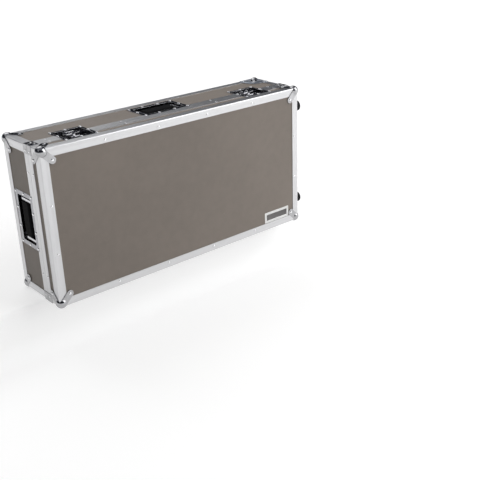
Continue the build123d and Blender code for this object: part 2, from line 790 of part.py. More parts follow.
def hinge_leaves(side, spans):
    """The leaves of one half on the bottom rails. spans are the knuckles of each hinge."""
    leaf_near = hinge_knuckle_radius + hinge_leaf_clear
    with BuildPart() as leaves:
        for x in hinge_places:
            with BuildSketch(Plane.XY.offset(z_bottom - hinge_sheet)):
                near, far = sorted((y_part + side * leaf_near, y_part + side * hinge_leaf))
                rectangle((x - hinge_length / 2, near), (x + hinge_length / 2, far))
                near, far = sorted((y_part, y_part + side * leaf_near))
                for start, end in spans:
                    rectangle((x + start, near), (x + end, far))
            extrude(amount=hinge_sheet)
            for start, end in spans:
                axis_plane = Plane((x + start, y_part, hinge_axis_z), x_dir=BACK, z_dir=RIGHT)
                with BuildSketch(axis_plane):
                    Circle(hinge_knuckle_radius)
                extrude(amount=end - start)
        for x in hinge_places:
            axis_plane = Plane((x - hinge_length / 2, y_part, hinge_axis_z), x_dir=BACK, z_dir=RIGHT)
            with BuildSketch(axis_plane):
                Circle(hinge_pin_radius + pivot_clearance)
            extrude(amount=hinge_length, mode=Mode.SUBTRACT)
    return leaves.part


def hinge_pins():
    """One pin through the knuckles of each hinge."""
    with BuildPart() as pins:
        for x in hinge_places:
            with BuildSketch(
                Plane((x - hinge_length / 2, y_part, hinge_axis_z), x_dir=BACK, z_dir=RIGHT)
            ):
                Circle(hinge_pin_radius)
            extrude(amount=hinge_length)
    return pins.part


outer = hinge_length / 2
inner = outer - knuckle_length
save("hinge_base_leaves", hinge_leaves(1, [(-outer, -inner), (inner, outer)]))
save("hinge_lid_leaves", hinge_leaves(-1, [(-inner + hinge_knuckle_gap, inner - hinge_knuckle_gap)]))
save("hinge_pins", hinge_pins())


# ---------------------------------------------------------------- feet
def feet(planes):
    """Tapered rubber feet with a bore for the screw."""
    with BuildPart() as rubber:
        for plane in planes:
            with BuildSketch(Plane(plane.origin, x_dir=plane.x_dir, z_dir=-plane.y_dir)):
                Polygon(
                    (0, 0),
                    (foot_radius, 0),
                    (foot_top_radius, foot_height),
                    (foot_bore_radius, foot_height),
                    (foot_bore_radius, foot_height - foot_bore_depth),
                    (0, foot_height - foot_bore_depth),
                    align=None,
                )
            revolve(axis=Axis(plane.origin, plane.z_dir))
    return rubber.part


foot_levels = (z_bottom + foot_from_edge, z_top - foot_from_edge)
foot_columns = (x_left + foot_from_edge, x_right - foot_from_edge)


def end_feet(y):
    """Planes of the feet on the right end, at one depth."""
    return [Plane((x_right, y, z), x_dir=BACK, z_dir=RIGHT) for z in foot_levels]


back_planes = [
    Plane((x, y_back - rail_wall, z), x_dir=LEFT, z_dir=BACK) for x in foot_columns for z in foot_levels
]
save("base_feet", feet(end_feet(y_back - end_foot_inset) + back_planes))
save("lid_feet", feet(end_feet(y_front + end_foot_inset)))

# ---------------------------------------------------------------- foam lining
floor_y = y_back - foam_depth - floor_foam


def sheet_foam(y_low, y_high):
    """A foam sheet that fills the case from side to side."""
    with BuildPart() as foam:
        with BuildSketch(Plane.XZ.offset(-y_high)):
            low = (x_left + foam_depth, z_bottom + foam_depth)
            rectangle(low, (x_right - foam_depth, z_top - foam_depth))
        extrude(amount=y_high - y_low)
    return foam.part


def strips_around(span, depth, pockets):
    """Foam strips of one layer that leave the pockets free. span and depth are the layer's
    two ranges; each pocket is its centre and half length in span, and its range in depth."""
    start = span[0]
    for centre, half, near, far in pockets:
        rectangle((start, depth[0]), (centre - half, depth[1]))
        inside = (centre - half + foam_gap, centre + half - foam_gap)
        if near > depth[0]:
            rectangle((inside[0], depth[0]), (inside[1], near))
        rectangle((inside[0], far), (inside[1], depth[1]))
        start = centre + half
    rectangle((start, depth[0]), (span[1], depth[1]))


def side_foam_blocks():
    """Foam around the board. Where pans reach in, an outer layer of strips makes room."""
    depth = (y_part + foam_below_rim, floor_y - foam_gap)
    pocket = dish_sheet + dish_clearance
    outer_layer = rail_wall + handle_depth + pocket - foam_depth
    layered = outer_layer + foam_gap
    left, right = x_left + foam_depth, x_right - foam_depth
    bottom, top = z_bottom + foam_depth, z_top - foam_depth
    between = (bottom + side_foam + foam_gap, top - side_foam - foam_gap)
    latch_end = y_part + latch_base_reach - latch_rim + pocket
    latch_half = latch_pan_half + pocket
    handle_half = pan_length / 2 + pocket
    handle_side = pan_width / 2 + pocket
    top_pocket = (x_middle, handle_half, top_handle_y - handle_side, top_handle_y + handle_side)
    end_pocket = (z_middle, handle_half, end_handle_y - handle_side, end_handle_y + handle_side)
    latch_pockets = [(x, latch_half, y_part, latch_end) for x in latch_places()]
    top_pockets = [latch_pockets[0], top_pocket, latch_pockets[1]]
    with BuildPart() as foam:
        with BuildSketch(Plane.XZ.offset(-depth[1])):
            rectangle((left, top - side_foam), (right, top - layered))
            rectangle((left, bottom), (right, bottom + side_foam))
            rectangle((left + layered, between[0]), (left + end_foam, between[1]))
            rectangle((right - end_foam, between[0]), (right, between[1]))
        extrude(amount=depth[1] - depth[0])
        with BuildSketch(Plane.XY.offset(top)):
            strips_around((left, right), depth, top_pockets)
        extrude(amount=-outer_layer)
        with BuildSketch(Plane((left, 0, 0), x_dir=UP, z_dir=LEFT)):
            strips_around(between, depth, [end_pocket])
        extrude(amount=-outer_layer)
    return foam.part


save("base_floor_foam", sheet_foam(floor_y, y_back - foam_depth))
save("base_side_foam", side_foam_blocks())
save("lid_foam", sheet_foam(y_front + foam_depth, y_front + foam_depth + lid_foam_thickness))
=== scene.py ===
"""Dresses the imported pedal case.

The CAD pieces keep their shapes and get their finishes here. The rivets, screws, wound
springs, foam lining, rear corner plates and blank plate are built in mesh code.
"""

import logging
import math
from collections.abc import Iterable, Iterator, Sequence
from dataclasses import dataclass, field
from enum import Enum

import bmesh
import bpy
from mathutils import Matrix, Vector, noise


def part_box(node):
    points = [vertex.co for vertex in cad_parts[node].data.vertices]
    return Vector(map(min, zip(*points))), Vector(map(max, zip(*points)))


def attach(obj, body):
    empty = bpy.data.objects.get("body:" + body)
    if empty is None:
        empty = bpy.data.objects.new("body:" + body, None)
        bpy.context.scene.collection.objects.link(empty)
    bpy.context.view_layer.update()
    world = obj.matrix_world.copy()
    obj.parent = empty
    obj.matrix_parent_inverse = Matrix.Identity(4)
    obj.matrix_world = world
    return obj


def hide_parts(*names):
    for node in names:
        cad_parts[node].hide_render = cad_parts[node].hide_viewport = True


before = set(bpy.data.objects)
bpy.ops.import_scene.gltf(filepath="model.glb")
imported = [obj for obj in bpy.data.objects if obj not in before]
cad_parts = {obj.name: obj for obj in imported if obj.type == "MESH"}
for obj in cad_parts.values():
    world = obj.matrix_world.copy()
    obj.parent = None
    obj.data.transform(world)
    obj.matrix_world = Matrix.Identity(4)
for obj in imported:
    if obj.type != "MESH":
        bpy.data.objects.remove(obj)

log = logging.getLogger("pedal_case")

MM = 0.001
WHITE = (1.0, 1.0, 1.0, 1.0)
PARTING_GAP = 0.4 * MM  # face of a groove rail to the parting line
SUNK = -0.15 * MM  # foot of a piece that sits on a surface, just below that surface
WIRE_END = 0.6  # length of a wire's rounded end, as a share of its radius
HALVES = (("lid", -1.0), ("base", 1.0))  # each half and its side of the parting line

Colour = tuple[float, float, float]
Point2 = tuple[float, float]
Socket = bpy.types.NodeSocket
Inputs = dict[str | int, object]
Ring = Sequence[bmesh.types.BMVert]


class Axis(Enum):
    """A direction of the frame."""

    X = Vector((1.0, 0.0, 0.0))
    Y = Vector((0.0, 1.0, 0.0))
    Z = Vector((0.0, 0.0, 1.0))


class Face(Enum):
    """A side of the case, with its outward direction."""

    LEFT = Vector((-1.0, 0.0, 0.0))
    RIGHT = Vector((1.0, 0.0, 0.0))
    FRONT = Vector((0.0, -1.0, 0.0))
    BACK = Vector((0.0, 1.0, 0.0))
    BOTTOM = Vector((0.0, 0.0, -1.0))
    TOP = Vector((0.0, 0.0, 1.0))


Spot = tuple[Vector, Face]


class Run(Enum):
    """Which way the drawing lines of a rail go."""

    ALONG_X = 0
    ALONG_Y = 1
    ALONG_Z = 2
    ROUND_FRAME = 3


class Slot(Enum):
    """The record's material slots."""

    LAMINATE = "laminate"
    RAIL = "aluminium_rail"
    ZINC = "zinc_steel"
    DISH = "dish_steel"
    BRIGHT = "bright_steel"
    RIVET = "rivet_steel"
    SPRING = "spring_steel"
    GRIP = "grip_rubber"
    FOOT = "rubber_foot"
    FOAM = "foam"


@dataclass(frozen=True)
class Shell:
    """Outer places of the case in metres, read from the CAD pieces."""

    left: float
    right: float
    front: float
    back: float
    bottom: float
    top: float
    parting: float

    @classmethod
    def from_cad(cls) -> "Shell":
        """Reads the places from the boxes of the rails.

        Returns:
            The places of the shell.
        """
        low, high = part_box("lid_front_edges")
        groove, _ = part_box("base_groove_top")
        _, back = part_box("base_back_edges")
        return cls(low.x, high.x, low.y, back.y, low.z, high.z, groove.y - PARTING_GAP)

    @property
    def middle_x(self) -> float:
        """Half way along the length."""
        return (self.left + self.right) / 2

    @property
    def middle_z(self) -> float:
        """Half way up."""
        return (self.bottom + self.top) / 2

    @property
    def levels(self) -> tuple[tuple[Face, float], ...]:
        """Top and bottom with their heights."""
        return (Face.TOP, self.top), (Face.BOTTOM, self.bottom)

    @property
    def ends(self) -> tuple[tuple[Face, float], ...]:
        """Left and right with their places along the length."""
        return (Face.LEFT, self.left), (Face.RIGHT, self.right)


def arc(middle: Point2, radius: float, start: float, end: float, steps: int) -> list[Point2]:
    """Points along a round bend.

    Args:
        middle: Middle of the bend.
        radius: Its radius.
        start: Angle of the first point, in degrees.
        end: Angle of the last point, in degrees.
        steps: Number of steps between them.

    Returns:
        The points in order.
    """
    turns = (math.radians(start + (end - start) * i / steps) for i in range(steps + 1))
    return [(middle[0] + radius * math.cos(a), middle[1] + radius * math.sin(a)) for a in turns]


# ------------------------------------------------------------------ node wiring


class Wiring:
    """Adds and joins the nodes of one node tree."""

    def __init__(self, tree: bpy.types.NodeTree) -> None:
        """Keeps the tree that gets the nodes."""
        self.tree = tree

    @classmethod
    def fresh(cls, owner: bpy.types.Material | bpy.types.World) -> "Wiring":
        """Empties the node tree of a material or world.

        Args:
            owner: The material or world.

        Returns:
            The wiring of its tree.
        """
        owner.use_nodes = True
        owner.node_tree.nodes.clear()
        return cls(owner.node_tree)

    def node(self, kind: str, inputs: Inputs | None = None, **settings: object) -> bpy.types.Node:
        """Adds a node, sets it up and joins what feeds it.

        Args:
            kind: Blender's name of the node type.
            inputs: Values or output sockets for the node's inputs.
            **settings: Attributes of the node.

        Returns:
            The new node.
        """
        made = self.tree.nodes.new(kind)
        for name, value in settings.items():
            setattr(made, name, value)
        for name, value in (inputs or {}).items():
            if isinstance(value, Socket):
                self.tree.links.new(value, made.inputs[name])
            else:
                made.inputs[name].default_value = value
        return made

    def math(self, operation: str, *values: object, clamp: bool = False) -> Socket:
        """Adds a Math node on one to three numbers or sockets and gives its result."""
        inputs = dict(enumerate(values))
        return self.node("ShaderNodeMath", inputs, operation=operation, use_clamp=clamp).outputs[0]

    def noise(self, vector: Socket, scale: float | Socket, detail: float) -> Socket:
        """Adds a Noise Texture and gives its value."""
        inputs = {"Vector": vector, "Scale": scale, "Detail": detail}
        return self.node("ShaderNodeTexNoise", inputs).outputs["Fac"]

    def spread(
        self, value: Socket, low: float, high: float, to_low: float = 0.0, to_high: float = 1.0
    ) -> Socket:
        """Maps a value from one range to another and keeps it there."""
        ends = {"From Min": low, "From Max": high, "To Min": to_low, "To Max": to_high}
        return self.node("ShaderNodeMapRange", {"Value": value, **ends}).outputs["Result"]

    def around(self, tone: Socket, middle: float, below: float, above: float) -> Socket:
        """Spreads a tone from a little below a middle value to a little above it."""
        return self.spread(tone, 0.0, 1.0, middle - below, middle + above)

    def tint(
        self, colour: Colour | Socket, factor: Socket, other: Colour, share: float | None = None
    ) -> Socket:
        """Mixes a colour towards another.

        Args:
            colour: The first colour or the socket that gives it.
            factor: How much of the other colour shows.
            other: The other colour.
            share: What the factor is multiplied by, if anything.

        Returns:
            The socket of the mixed colour.
        """
        if share is not None:
            factor = self.math("MULTIPLY", factor, share)
        first = colour if isinstance(colour, Socket) else (*colour, 1.0)
        inputs = {"Factor": factor, 6: first, 7: (*other, 1.0)}
        return self.node("ShaderNodeMix", inputs, data_type="RGBA").outputs[2]

    def bump(
        self, height: Socket, strength: float, distance: float, normal: Socket | None = None
    ) -> Socket:
        """Adds a Bump node.

        Args:
            height: The socket of the height.
            strength: How strongly it shows, from 0 to 1.
            distance: The height of a full step, in metres.
            normal: The normal that it is laid on, if any.

        Returns:
            The socket of the normal.
        """
        inputs = {"Height": height, "Strength": strength, "Distance": distance}
        if normal is not None:
            inputs["Normal"] = normal
        return self.node("ShaderNodeBump", inputs).outputs["Normal"]

    def place(self) -> Socket:
        """The place of a point on its own piece, in metres."""
        return self.node("ShaderNodeTexCoord").outputs["Object"]


# ------------------------------------------------------------------ shared effects


class SharedEffect:
    """A shader node group that several finishes place with their own values."""

    title = "effect"
    inputs: dict[str, float] = {}
    outputs: tuple[str, ...] = ("Height", "Tone")
    normals: tuple[str, ...] = ()

    def wire(self, wiring: Wiring, vector: Socket, given: bpy.types.NodeOutputs) -> Inputs:
        """Builds the effect inside the group.

        Args:
            wiring: The wiring of the group's tree.
            vector: The place that the effect reads.
            given: All that comes into the group.

        Returns:
            The socket that feeds each output.
        """
        raise NotImplementedError

    def tree(self) -> bpy.types.NodeTree:
        """Builds the group on first use.

        Returns:
            The group's tree.
        """
        made = bpy.data.node_groups.get(self.title)
        if made:
            return made
        made = bpy.data.node_groups.new(self.title, "ShaderNodeTree")
        add = made.interface.new_socket
        add("Vector", in_out="INPUT", socket_type="NodeSocketVector")
        for name, value in self.inputs.items():
            add(name, in_out="INPUT", socket_type="NodeSocketFloat").default_value = value
        for name in self.outputs:
            add(name, in_out="OUTPUT", socket_type="NodeSocketFloat")
        for name in self.normals:
            add(name, in_out="OUTPUT", socket_type="NodeSocketVector")
        wiring = Wiring(made)
        given = wiring.node("NodeGroupInput").outputs
        wiring.node("NodeGroupOutput", self.wire(wiring, given["Vector"], given))
        return made

    def place_in(self, wiring: Wiring, vector: Socket, **values: float) -> bpy.types.NodeOutputs:
        """Places the group in a material, with values for its inputs, and gives its outputs."""
        inputs = {"Vector": vector, **values}
        return wiring.node("ShaderNodeGroup", inputs, node_tree=self.tree()).outputs


class PebbleGrain(SharedEffect):
    """The fine pebbled skin of laminate and of moulded rubber."""

    title = "pebble_grain"
    inputs = {"Scale": 700.0}

    def wire(self, wiring: Wiring, vector: Socket, given: bpy.types.NodeOutputs) -> Inputs:
        """Builds the grain from rounded cells broken up by noise.

        Args:
            wiring: The wiring of the group's tree.
            vector: The place that the effect reads.
            given: All that comes into the group.

        Returns:
            The sockets of Height and Tone.
        """
        inputs = {"Vector": vector, "Scale": given["Scale"], "Smoothness": 0.6}
        cells = wiring.node("ShaderNodeTexVoronoi", inputs, feature="SMOOTH_F1")
        rough = wiring.noise(vector, given["Scale"], 3.0)
        height = wiring.math("SUBTRACT", 1.0, cells.outputs["Distance"])
        height = wiring.math("MULTIPLY_ADD", rough, 0.5, height)
        return {"Height": height, "Tone": wiring.spread(rough, 0.3, 0.7)}


class DrawnLines(SharedEffect):
    """The fine lines that drawing, rolling or brushing leaves on metal."""

    title = "drawn_lines"
    inputs = {"Scale": 1.0}

    def wire(self, wiring: Wiring, vector: Socket, given: bpy.types.NodeOutputs) -> Inputs:
        """Builds fine and broad lines from a place squeezed along the run.

        Args:
            wiring: The wiring of the group's tree.
            vector: The place that the effect reads.
            given: All that comes into the group.

        Returns:
            The sockets of Height and Tone.
        """
        fine = wiring.noise(vector, given["Scale"], 5.0)
        broad = wiring.noise(vector, wiring.math("MULTIPLY", given["Scale"], 0.16), 2.0)
        tone = wiring.math("MULTIPLY", broad, 0.5)
        tone = wiring.math("MULTIPLY_ADD", fine, 0.5, tone)
        return {"Height": fine, "Tone": wiring.spread(tone, 0.35, 0.65)}


class HandlingMarks(SharedEffect):
    """Hairline scratches and faint rubs from handling."""

    title = "handling_marks"
    inputs = {"Scale": 60.0, "Share": 0.5}
    outputs = ("Scratch", "Rub")
    bands = ((0.6, (1.0, 9.0, 1.4)), (-0.9, (7.0, 1.0, 1.6)))  # turn and squeeze of each

    def wire(self, wiring: Wiring, vector: Socket, given: bpy.types.NodeOutputs) -> Inputs:
        """Builds scratches from thin bands of two turned noises, and rubs from a soft one.

        Args:
            wiring: The wiring of the group's tree.
            vector: The place that the effect reads.
            given: All that comes into the group.

        Returns:
            The sockets of Scratch and Rub.
        """
        cloud = wiring.noise(vector, given["Scale"], 3.0)
        hairs = []
        for turn, squeeze in self.bands:
            inputs = {"Vector": vector, "Rotation": (turn, turn * 0.7, turn), "Scale": squeeze}
            turned = wiring.node("ShaderNodeMapping", inputs).outputs["Vector"]
            hair = wiring.noise(turned, given["Scale"], 1.0)
            off_line = wiring.math("ABSOLUTE", wiring.math("SUBTRACT", hair, 0.5))
            hairs.append(wiring.spread(off_line, 0.0, 0.006, 1.0, 0.0))
        limit = wiring.math("SUBTRACT", 1.0, given["Share"])
        shown = wiring.math("GREATER_THAN", cloud, limit)
        scratch = wiring.math("MULTIPLY", wiring.math("MAXIMUM", *hairs), shown)
        return {"Scratch": scratch, "Rub": wiring.spread(cloud, 0.5, 0.75)}


class CloudyPlate(SharedEffect):
    """The cloudy, faintly mottled look of plated or cast skin."""

    title = "cloudy_plate"
    inputs = {"Scale": 90.0}

    def wire(self, wiring: Wiring, vector: Socket, given: bpy.types.NodeOutputs) -> Inputs:
        """Builds soft clouds with a fine speckle on them.

        Args:
            wiring: The wiring of the group's tree.
            vector: The place that the effect reads.
            given: All that comes into the group.

        Returns:
            The sockets of Height and Tone.
        """
        cloud = wiring.noise(vector, given["Scale"], 4.0)
        speckle = wiring.noise(vector, wiring.math("MULTIPLY", given["Scale"], 14.0), 2.0)
        tone = wiring.math("MULTIPLY", speckle, 0.3)
        tone = wiring.math("MULTIPLY_ADD", cloud, 0.7, tone)
        return {"Height": speckle, "Tone": wiring.spread(tone, 0.35, 0.65)}


class EdgeWearAndHighlight(SharedEffect):
    """Rounded edges, with a mask that paints them paler in patches: partly rubbed wear, partly
    painted highlight.
    """

    title = "edge_wear_and_highlight"
    inputs = {"Radius": 0.8 * MM}
    outputs = ("Edge",)
    normals = ("Normal",)

    def wire(self, wiring: Wiring, vector: Socket, given: bpy.types.NodeOutputs) -> Inputs:
        """Builds the mask from how far a rounded normal leans away from the flat one.

        Args:
            wiring: The wiring of the group's tree.
            vector: The place that the effect reads.
            given: All that comes into the group.

        Returns:
            The sockets of Edge and Normal.
        """
        bevel = wiring.node("ShaderNodeBevel", {"Radius": given["Radius"]}, samples=6)
        rounded = bevel.outputs["Normal"]
        flat = wiring.node("ShaderNodeNewGeometry").outputs["Normal"]
        lean = wiring.node("ShaderNodeVectorMath", {0: rounded, 1: flat}, operation="DOT_PRODUCT")
        # mask of edges painted paler: partly rubbed wear, partly painted highlight
        edge = wiring.spread(lean.outputs["Value"], 0.97, 0.86)
        shown = wiring.spread(wiring.noise(vector, 130.0, 2.0), 0.35, 0.6, 0.45, 1.0)
        return {"Edge": wiring.math("MULTIPLY", edge, shown), "Normal": rounded}


# ------------------------------------------------------------------ finishes


@dataclass(frozen=True)
class Finish:
    """A finish with one base colour.

    Attributes:
        title: Name of the material.
        slot: The record's slot that it belongs to; not used.
        colour: Base colour, linear.
    """

    title: str
    slot: Slot
    colour: Colour

    def surface(self, wiring: Wiring) -> Inputs:
        """What feeds the inputs of the finish's shader.

        Args:
            wiring: The wiring of the material.

        Returns:
            A value or a socket for each input.
        """
        raise NotImplementedError

    def shade(self, factor: float, lift: float = 0.0) -> Colour:
        """The base colour made darker or paler."""
        return tuple(min(1.0, factor * c + lift) for c in self.colour)

    def material(self) -> bpy.types.Material:
        """Builds the material on first use.

        Returns:
            The material.
        """
        made = bpy.data.materials.get(self.title)
        if made:
            return made
        made = bpy.data.materials.new(self.title)
        wiring = Wiring.fresh(made)
        shader = wiring.node("ShaderNodeBsdfPrincipled", self.surface(wiring))
        wiring.node("ShaderNodeOutputMaterial", {"Surface": shader.outputs["BSDF"]})
        return made

    def on_node(self, *names: str) -> None:
        """Puts the finish on CAD pieces.

        Args:
            *names: Names of the CAD nodes.
        """
        for name in names:
            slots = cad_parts[name].data.materials
            slots.clear()
            slots.append(self.material())


@dataclass(frozen=True)
class Laminate(Finish):
    """Grey laminate with a fine pebble, over plywood with a dark backing sheet.

    Attributes:
        axis: 0, 1 or 2 for the direction through the panel.
        skin_at: Place between the two faces along that direction, in metres.
        skin_above: Whether the laminate lies on the high side of that place.
        backing: Colour of the backing sheet, linear.
    """

    axis: int = 1
    skin_at: float = 0.0
    skin_above: bool = False
    backing: Colour = (0.045, 0.035, 0.028)

    def surface(self, wiring: Wiring) -> Inputs:
        """Lays the laminate outside and the backing sheet inside.

        Args:
            wiring: The wiring of the material.

        Returns:
            A value or a socket for each input.
        """
        place = wiring.place()
        parts = wiring.node("ShaderNodeSeparateXYZ", {"Vector": place})
        compare = "LESS_THAN" if self.skin_above else "GREATER_THAN"
        inside = wiring.math(compare, parts.outputs[self.axis], self.skin_at)
        grain = PebbleGrain().place_in(wiring, place, Scale=850.0)
        marks = HandlingMarks().place_in(wiring, place, Scale=14.0, Share=0.36)
        cloud = CloudyPlate().place_in(wiring, place, Scale=3.0)
        dark = self.shade(0.86)
        colour = wiring.tint(dark, cloud["Tone"], self.colour)
        colour = wiring.tint(colour, grain["Tone"], dark, 0.16)
        colour = wiring.tint(colour, marks["Scratch"], self.shade(1.22), 0.3)
        rough = wiring.spread(grain["Tone"], 0.0, 1.0, 0.44, 0.56)
        rough = wiring.math("MULTIPLY_ADD", marks["Rub"], 0.06, rough)
        return {
            "Base Color": wiring.tint(colour, inside, self.backing),
            "Roughness": wiring.math("MULTIPLY_ADD", inside, 0.25, rough, clamp=True),
            "Normal": wiring.bump(grain["Height"], 0.25, 0.12 * MM),
            "Specular IOR Level": 0.36,
        }


@dataclass(frozen=True)
class DrawnMetal(Finish):
    """Metal with lines along its run, such as anodised rail.

    Attributes:
        run: Which way the lines go.
        rough: Middle of the roughness.
        middle: Middle of the frame that the rails go round, in metres.
        half: Half of the frame's length and height, in metres.
        along: Scale of the lines along the run.
        across: Their scale across it.
    """

    run: Run = Run.ALONG_X
    rough: float = 0.34
    middle: Point2 = (0.0, 0.0)
    half: Point2 = (1.0, 1.0)
    along: float = 9.0
    across: float = 900.0

    def squeezed(self, wiring: Wiring, run: Run) -> Socket:
        """The place, squeezed along one run.

        Args:
            wiring: The wiring of the material.
            run: The direction of the run.

        Returns:
            The socket of the squeezed place.
        """
        scale = [self.across] * 3
        scale[run.value] = self.along
        inputs = {"Vector": wiring.place(), "Scale": scale}
        return wiring.node("ShaderNodeMapping", inputs).outputs["Vector"]

    def line_place(self, wiring: Wiring) -> Socket:
        """The place that the lines read, turned at the mitres of a frame.

        Args:
            wiring: The wiring of the material.

        Returns:
            The socket of the place.
        """
        if self.run is not Run.ROUND_FRAME:
            return self.squeezed(wiring, self.run)
        parts = wiring.node("ShaderNodeSeparateXYZ", {"Vector": wiring.place()})
        inset = []
        for index, middle, half in zip((0, 2), self.middle, self.half):
            off = wiring.math("ABSOLUTE", wiring.math("SUBTRACT", parts.outputs[index], middle))
            inset.append(wiring.math("SUBTRACT", half, off))
        level, upright = (self.squeezed(wiring, run) for run in (Run.ALONG_X, Run.ALONG_Z))
        inputs = {"Factor": wiring.math("LESS_THAN", *inset), 4: level, 5: upright}
        return wiring.node("ShaderNodeMix", inputs, data_type="VECTOR").outputs[1]

    def surface(self, wiring: Wiring) -> Inputs:
        """Draws lines and handling marks on bare metal.

        Args:
            wiring: The wiring of the material.

        Returns:
            A value or a socket for each input.
        """
        lines = DrawnLines().place_in(wiring, self.line_place(wiring))
        marks = HandlingMarks().place_in(wiring, wiring.place(), Scale=40.0, Share=0.45)
        dark = self.shade(0.8)
        colour = wiring.tint(self.colour, lines["Tone"], dark, 0.35)
        rough = wiring.around(lines["Tone"], self.rough, 0.05, 0.07)
        return {
            "Base Color": wiring.tint(colour, marks["Scratch"], dark, 0.35),
            "Roughness": wiring.math("MULTIPLY_ADD", marks["Rub"], 0.06, rough, clamp=True),
            "Normal": wiring.bump(lines["Height"], 0.12, 0.05 * MM),
            "Metallic": 1.0,
        }


@dataclass(frozen=True)
class PlatedMetal(Finish):
    """Pressed or turned steel with a plated skin.

    Attributes:
        rough: Middle of the roughness.
        mottle: How much the clouds darken the plating.
        dents: Depth of the soft dents that pressing leaves, in metres.
        edge: Radius of its edges, in metres.
    """

    rough: float = 0.22
    mottle: float = 0.3
    dents: float = 0.3 * MM
    edge: float = 0.9 * MM

    def surface(self, wiring: Wiring) -> Inputs:
        """Clouds and dents the plating, and paints its edges paler: partly rubbed wear, partly
        painted highlight.

        Args:
            wiring: The wiring of the material.

        Returns:
            A value or a socket for each input.
        """
        place = wiring.place()
        cloud = CloudyPlate().place_in(wiring, place)
        marks = HandlingMarks().place_in(wiring, place, Scale=70.0, Share=0.5)
        edges = EdgeWearAndHighlight().place_in(wiring, place, Radius=self.edge)
        dark = self.shade(0.72)
        colour = wiring.tint(self.colour, cloud["Tone"], dark, self.mottle)
        colour = wiring.tint(colour, marks["Scratch"], dark, 0.4)
        rough = wiring.around(cloud["Tone"], self.rough, 0.04, 0.06)
        skin = wiring.bump(cloud["Height"], 0.08, 0.05 * MM, edges["Normal"])
        return {
            # edges painted paler: partly rubbed wear, partly painted highlight on the rims
            "Base Color": wiring.tint(colour, edges["Edge"], self.shade(0.55, 0.43)),
            "Roughness": wiring.math("MULTIPLY_ADD", marks["Rub"], 0.08, rough, clamp=True),
            "Normal": wiring.bump(wiring.noise(place, 48.0, 1.0), 1.0, self.dents, skin),
            "Metallic": 1.0,
        }


@dataclass(frozen=True)
class MouldedRubber(Finish):
    """Black moulded rubber with a dull pebbled skin.

    Attributes:
        rough: Middle of the roughness.
        grain: Scale of the pebble.
    """

    rough: float = 0.55
    grain: float = 900.0

    def surface(self, wiring: Wiring) -> Inputs:
        """Pebbles the rubber and rubs it paler.

        Args:
            wiring: The wiring of the material.

        Returns:
            A value or a socket for each input.
        """
        place = wiring.place()
        grain = PebbleGrain().place_in(wiring, place, Scale=self.grain)
        marks = HandlingMarks().place_in(wiring, place, Scale=55.0, Share=0.5)
        pale = self.shade(2.0, 0.01)
        colour = wiring.tint(self.colour, grain["Tone"], pale, 0.2)
        return {
            "Base Color": wiring.tint(colour, marks["Rub"], pale, 0.25),
            "Roughness": wiring.around(grain["Tone"], self.rough, 0.06, 0.08),
            "Normal": wiring.bump(grain["Height"], 0.35, 0.15 * MM),
            "Specular IOR Level": 0.06,
        }


@dataclass(frozen=True)
class OpenCellFoam(Finish):
    """Charcoal foam with open cells."""

    def surface(self, wiring: Wiring) -> Inputs:
        """Opens dark cells in the foam.

        Args:
            wiring: The wiring of the material.

        Returns:
            A value or a socket for each input.
        """
        place = wiring.place()
        cells = PebbleGrain().place_in(wiring, place, Scale=620.0)
        cloud = CloudyPlate().place_in(wiring, place, Scale=9.0)
        dark = self.shade(0.45)
        colour = wiring.tint(self.colour, cells["Tone"], dark, 0.8)
        return {
            "Base Color": wiring.tint(colour, cloud["Tone"], dark, 0.25),
            "Roughness": wiring.spread(cells["Tone"], 0.0, 1.0, 0.88, 1.0),
            "Normal": wiring.bump(cells["Height"], 0.7, 0.5 * MM),
            "Sheen Weight": 0.15,
            "Sheen Roughness": 0.6,
        }


@dataclass(frozen=True)
class SatinPaint(Finish):
    """Satin paint, as on the blank plate.

    Attributes:
        rough: Middle of the roughness.
    """

    rough: float = 0.35

    def surface(self, wiring: Wiring) -> Inputs:
        """Clouds the paint faintly and scratches it.

        Args:
            wiring: The wiring of the material.

        Returns:
            A value or a socket for each input.
        """
        place = wiring.place()
        cloud = CloudyPlate().place_in(wiring, place, Scale=45.0)
        marks = HandlingMarks().place_in(wiring, place, Scale=80.0, Share=0.5)
        dark = self.shade(0.82)
        colour = wiring.tint(self.colour, cloud["Tone"], dark, 0.3)
        return {
            "Base Color": wiring.tint(colour, marks["Scratch"], dark, 0.3),
            "Roughness": wiring.around(cloud["Tone"], self.rough, 0.05, 0.08),
            "Normal": wiring.bump(cloud["Height"], 0.1, 0.05 * MM),
        }


GREY_SKIN: Colour = (0.246, 0.212, 0.184)
ANODISED: Colour = (0.64, 0.64, 0.65)

ZINC = PlatedMetal(
    "bright_zinc", Slot.ZINC, (0.44, 0.44, 0.45), rough=0.1, mottle=0.5, dents=0.6 * MM
)
DULL_ZINC = PlatedMetal(
    "dull_zinc", Slot.ZINC, (0.50, 0.54, 0.60), rough=0.38, mottle=0.5, dents=0.6 * MM
)
DISH_CHROME = PlatedMetal(
    "dish_chrome", Slot.DISH, (0.36, 0.36, 0.38), rough=0.08, mottle=0.5, dents=0.8 * MM
)
LATCH_CHROME = PlatedMetal("latch_chrome", Slot.BRIGHT, (0.60, 0.60, 0.62), rough=0.1)
RIVET_STEEL = PlatedMetal("rivet_plating", Slot.RIVET, (0.84, 0.84, 0.85), rough=0.2, dents=0.0)
SPRING_STEEL = PlatedMetal("spring_wire", Slot.SPRING, (0.42, 0.42, 0.44), rough=0.26, dents=0.0)
GRIP_RUBBER = MouldedRubber("grip_skin", Slot.GRIP, (0.005, 0.005, 0.0055), rough=0.72)
FOOT_RUBBER = MouldedRubber("foot_skin", Slot.FOOT, (0.012, 0.012, 0.013), rough=0.6)
CHARCOAL_FOAM = OpenCellFoam("charcoal_foam", Slot.FOAM, (0.03, 0.03, 0.033))
PLATE_WHITE = SatinPaint("plate_border", Slot.RAIL, (0.9, 0.9, 0.89))
PLATE_DARK = SatinPaint("plate_field", Slot.RAIL, (0.13, 0.125, 0.122), rough=0.42)


# ------------------------------------------------------------------ mesh making


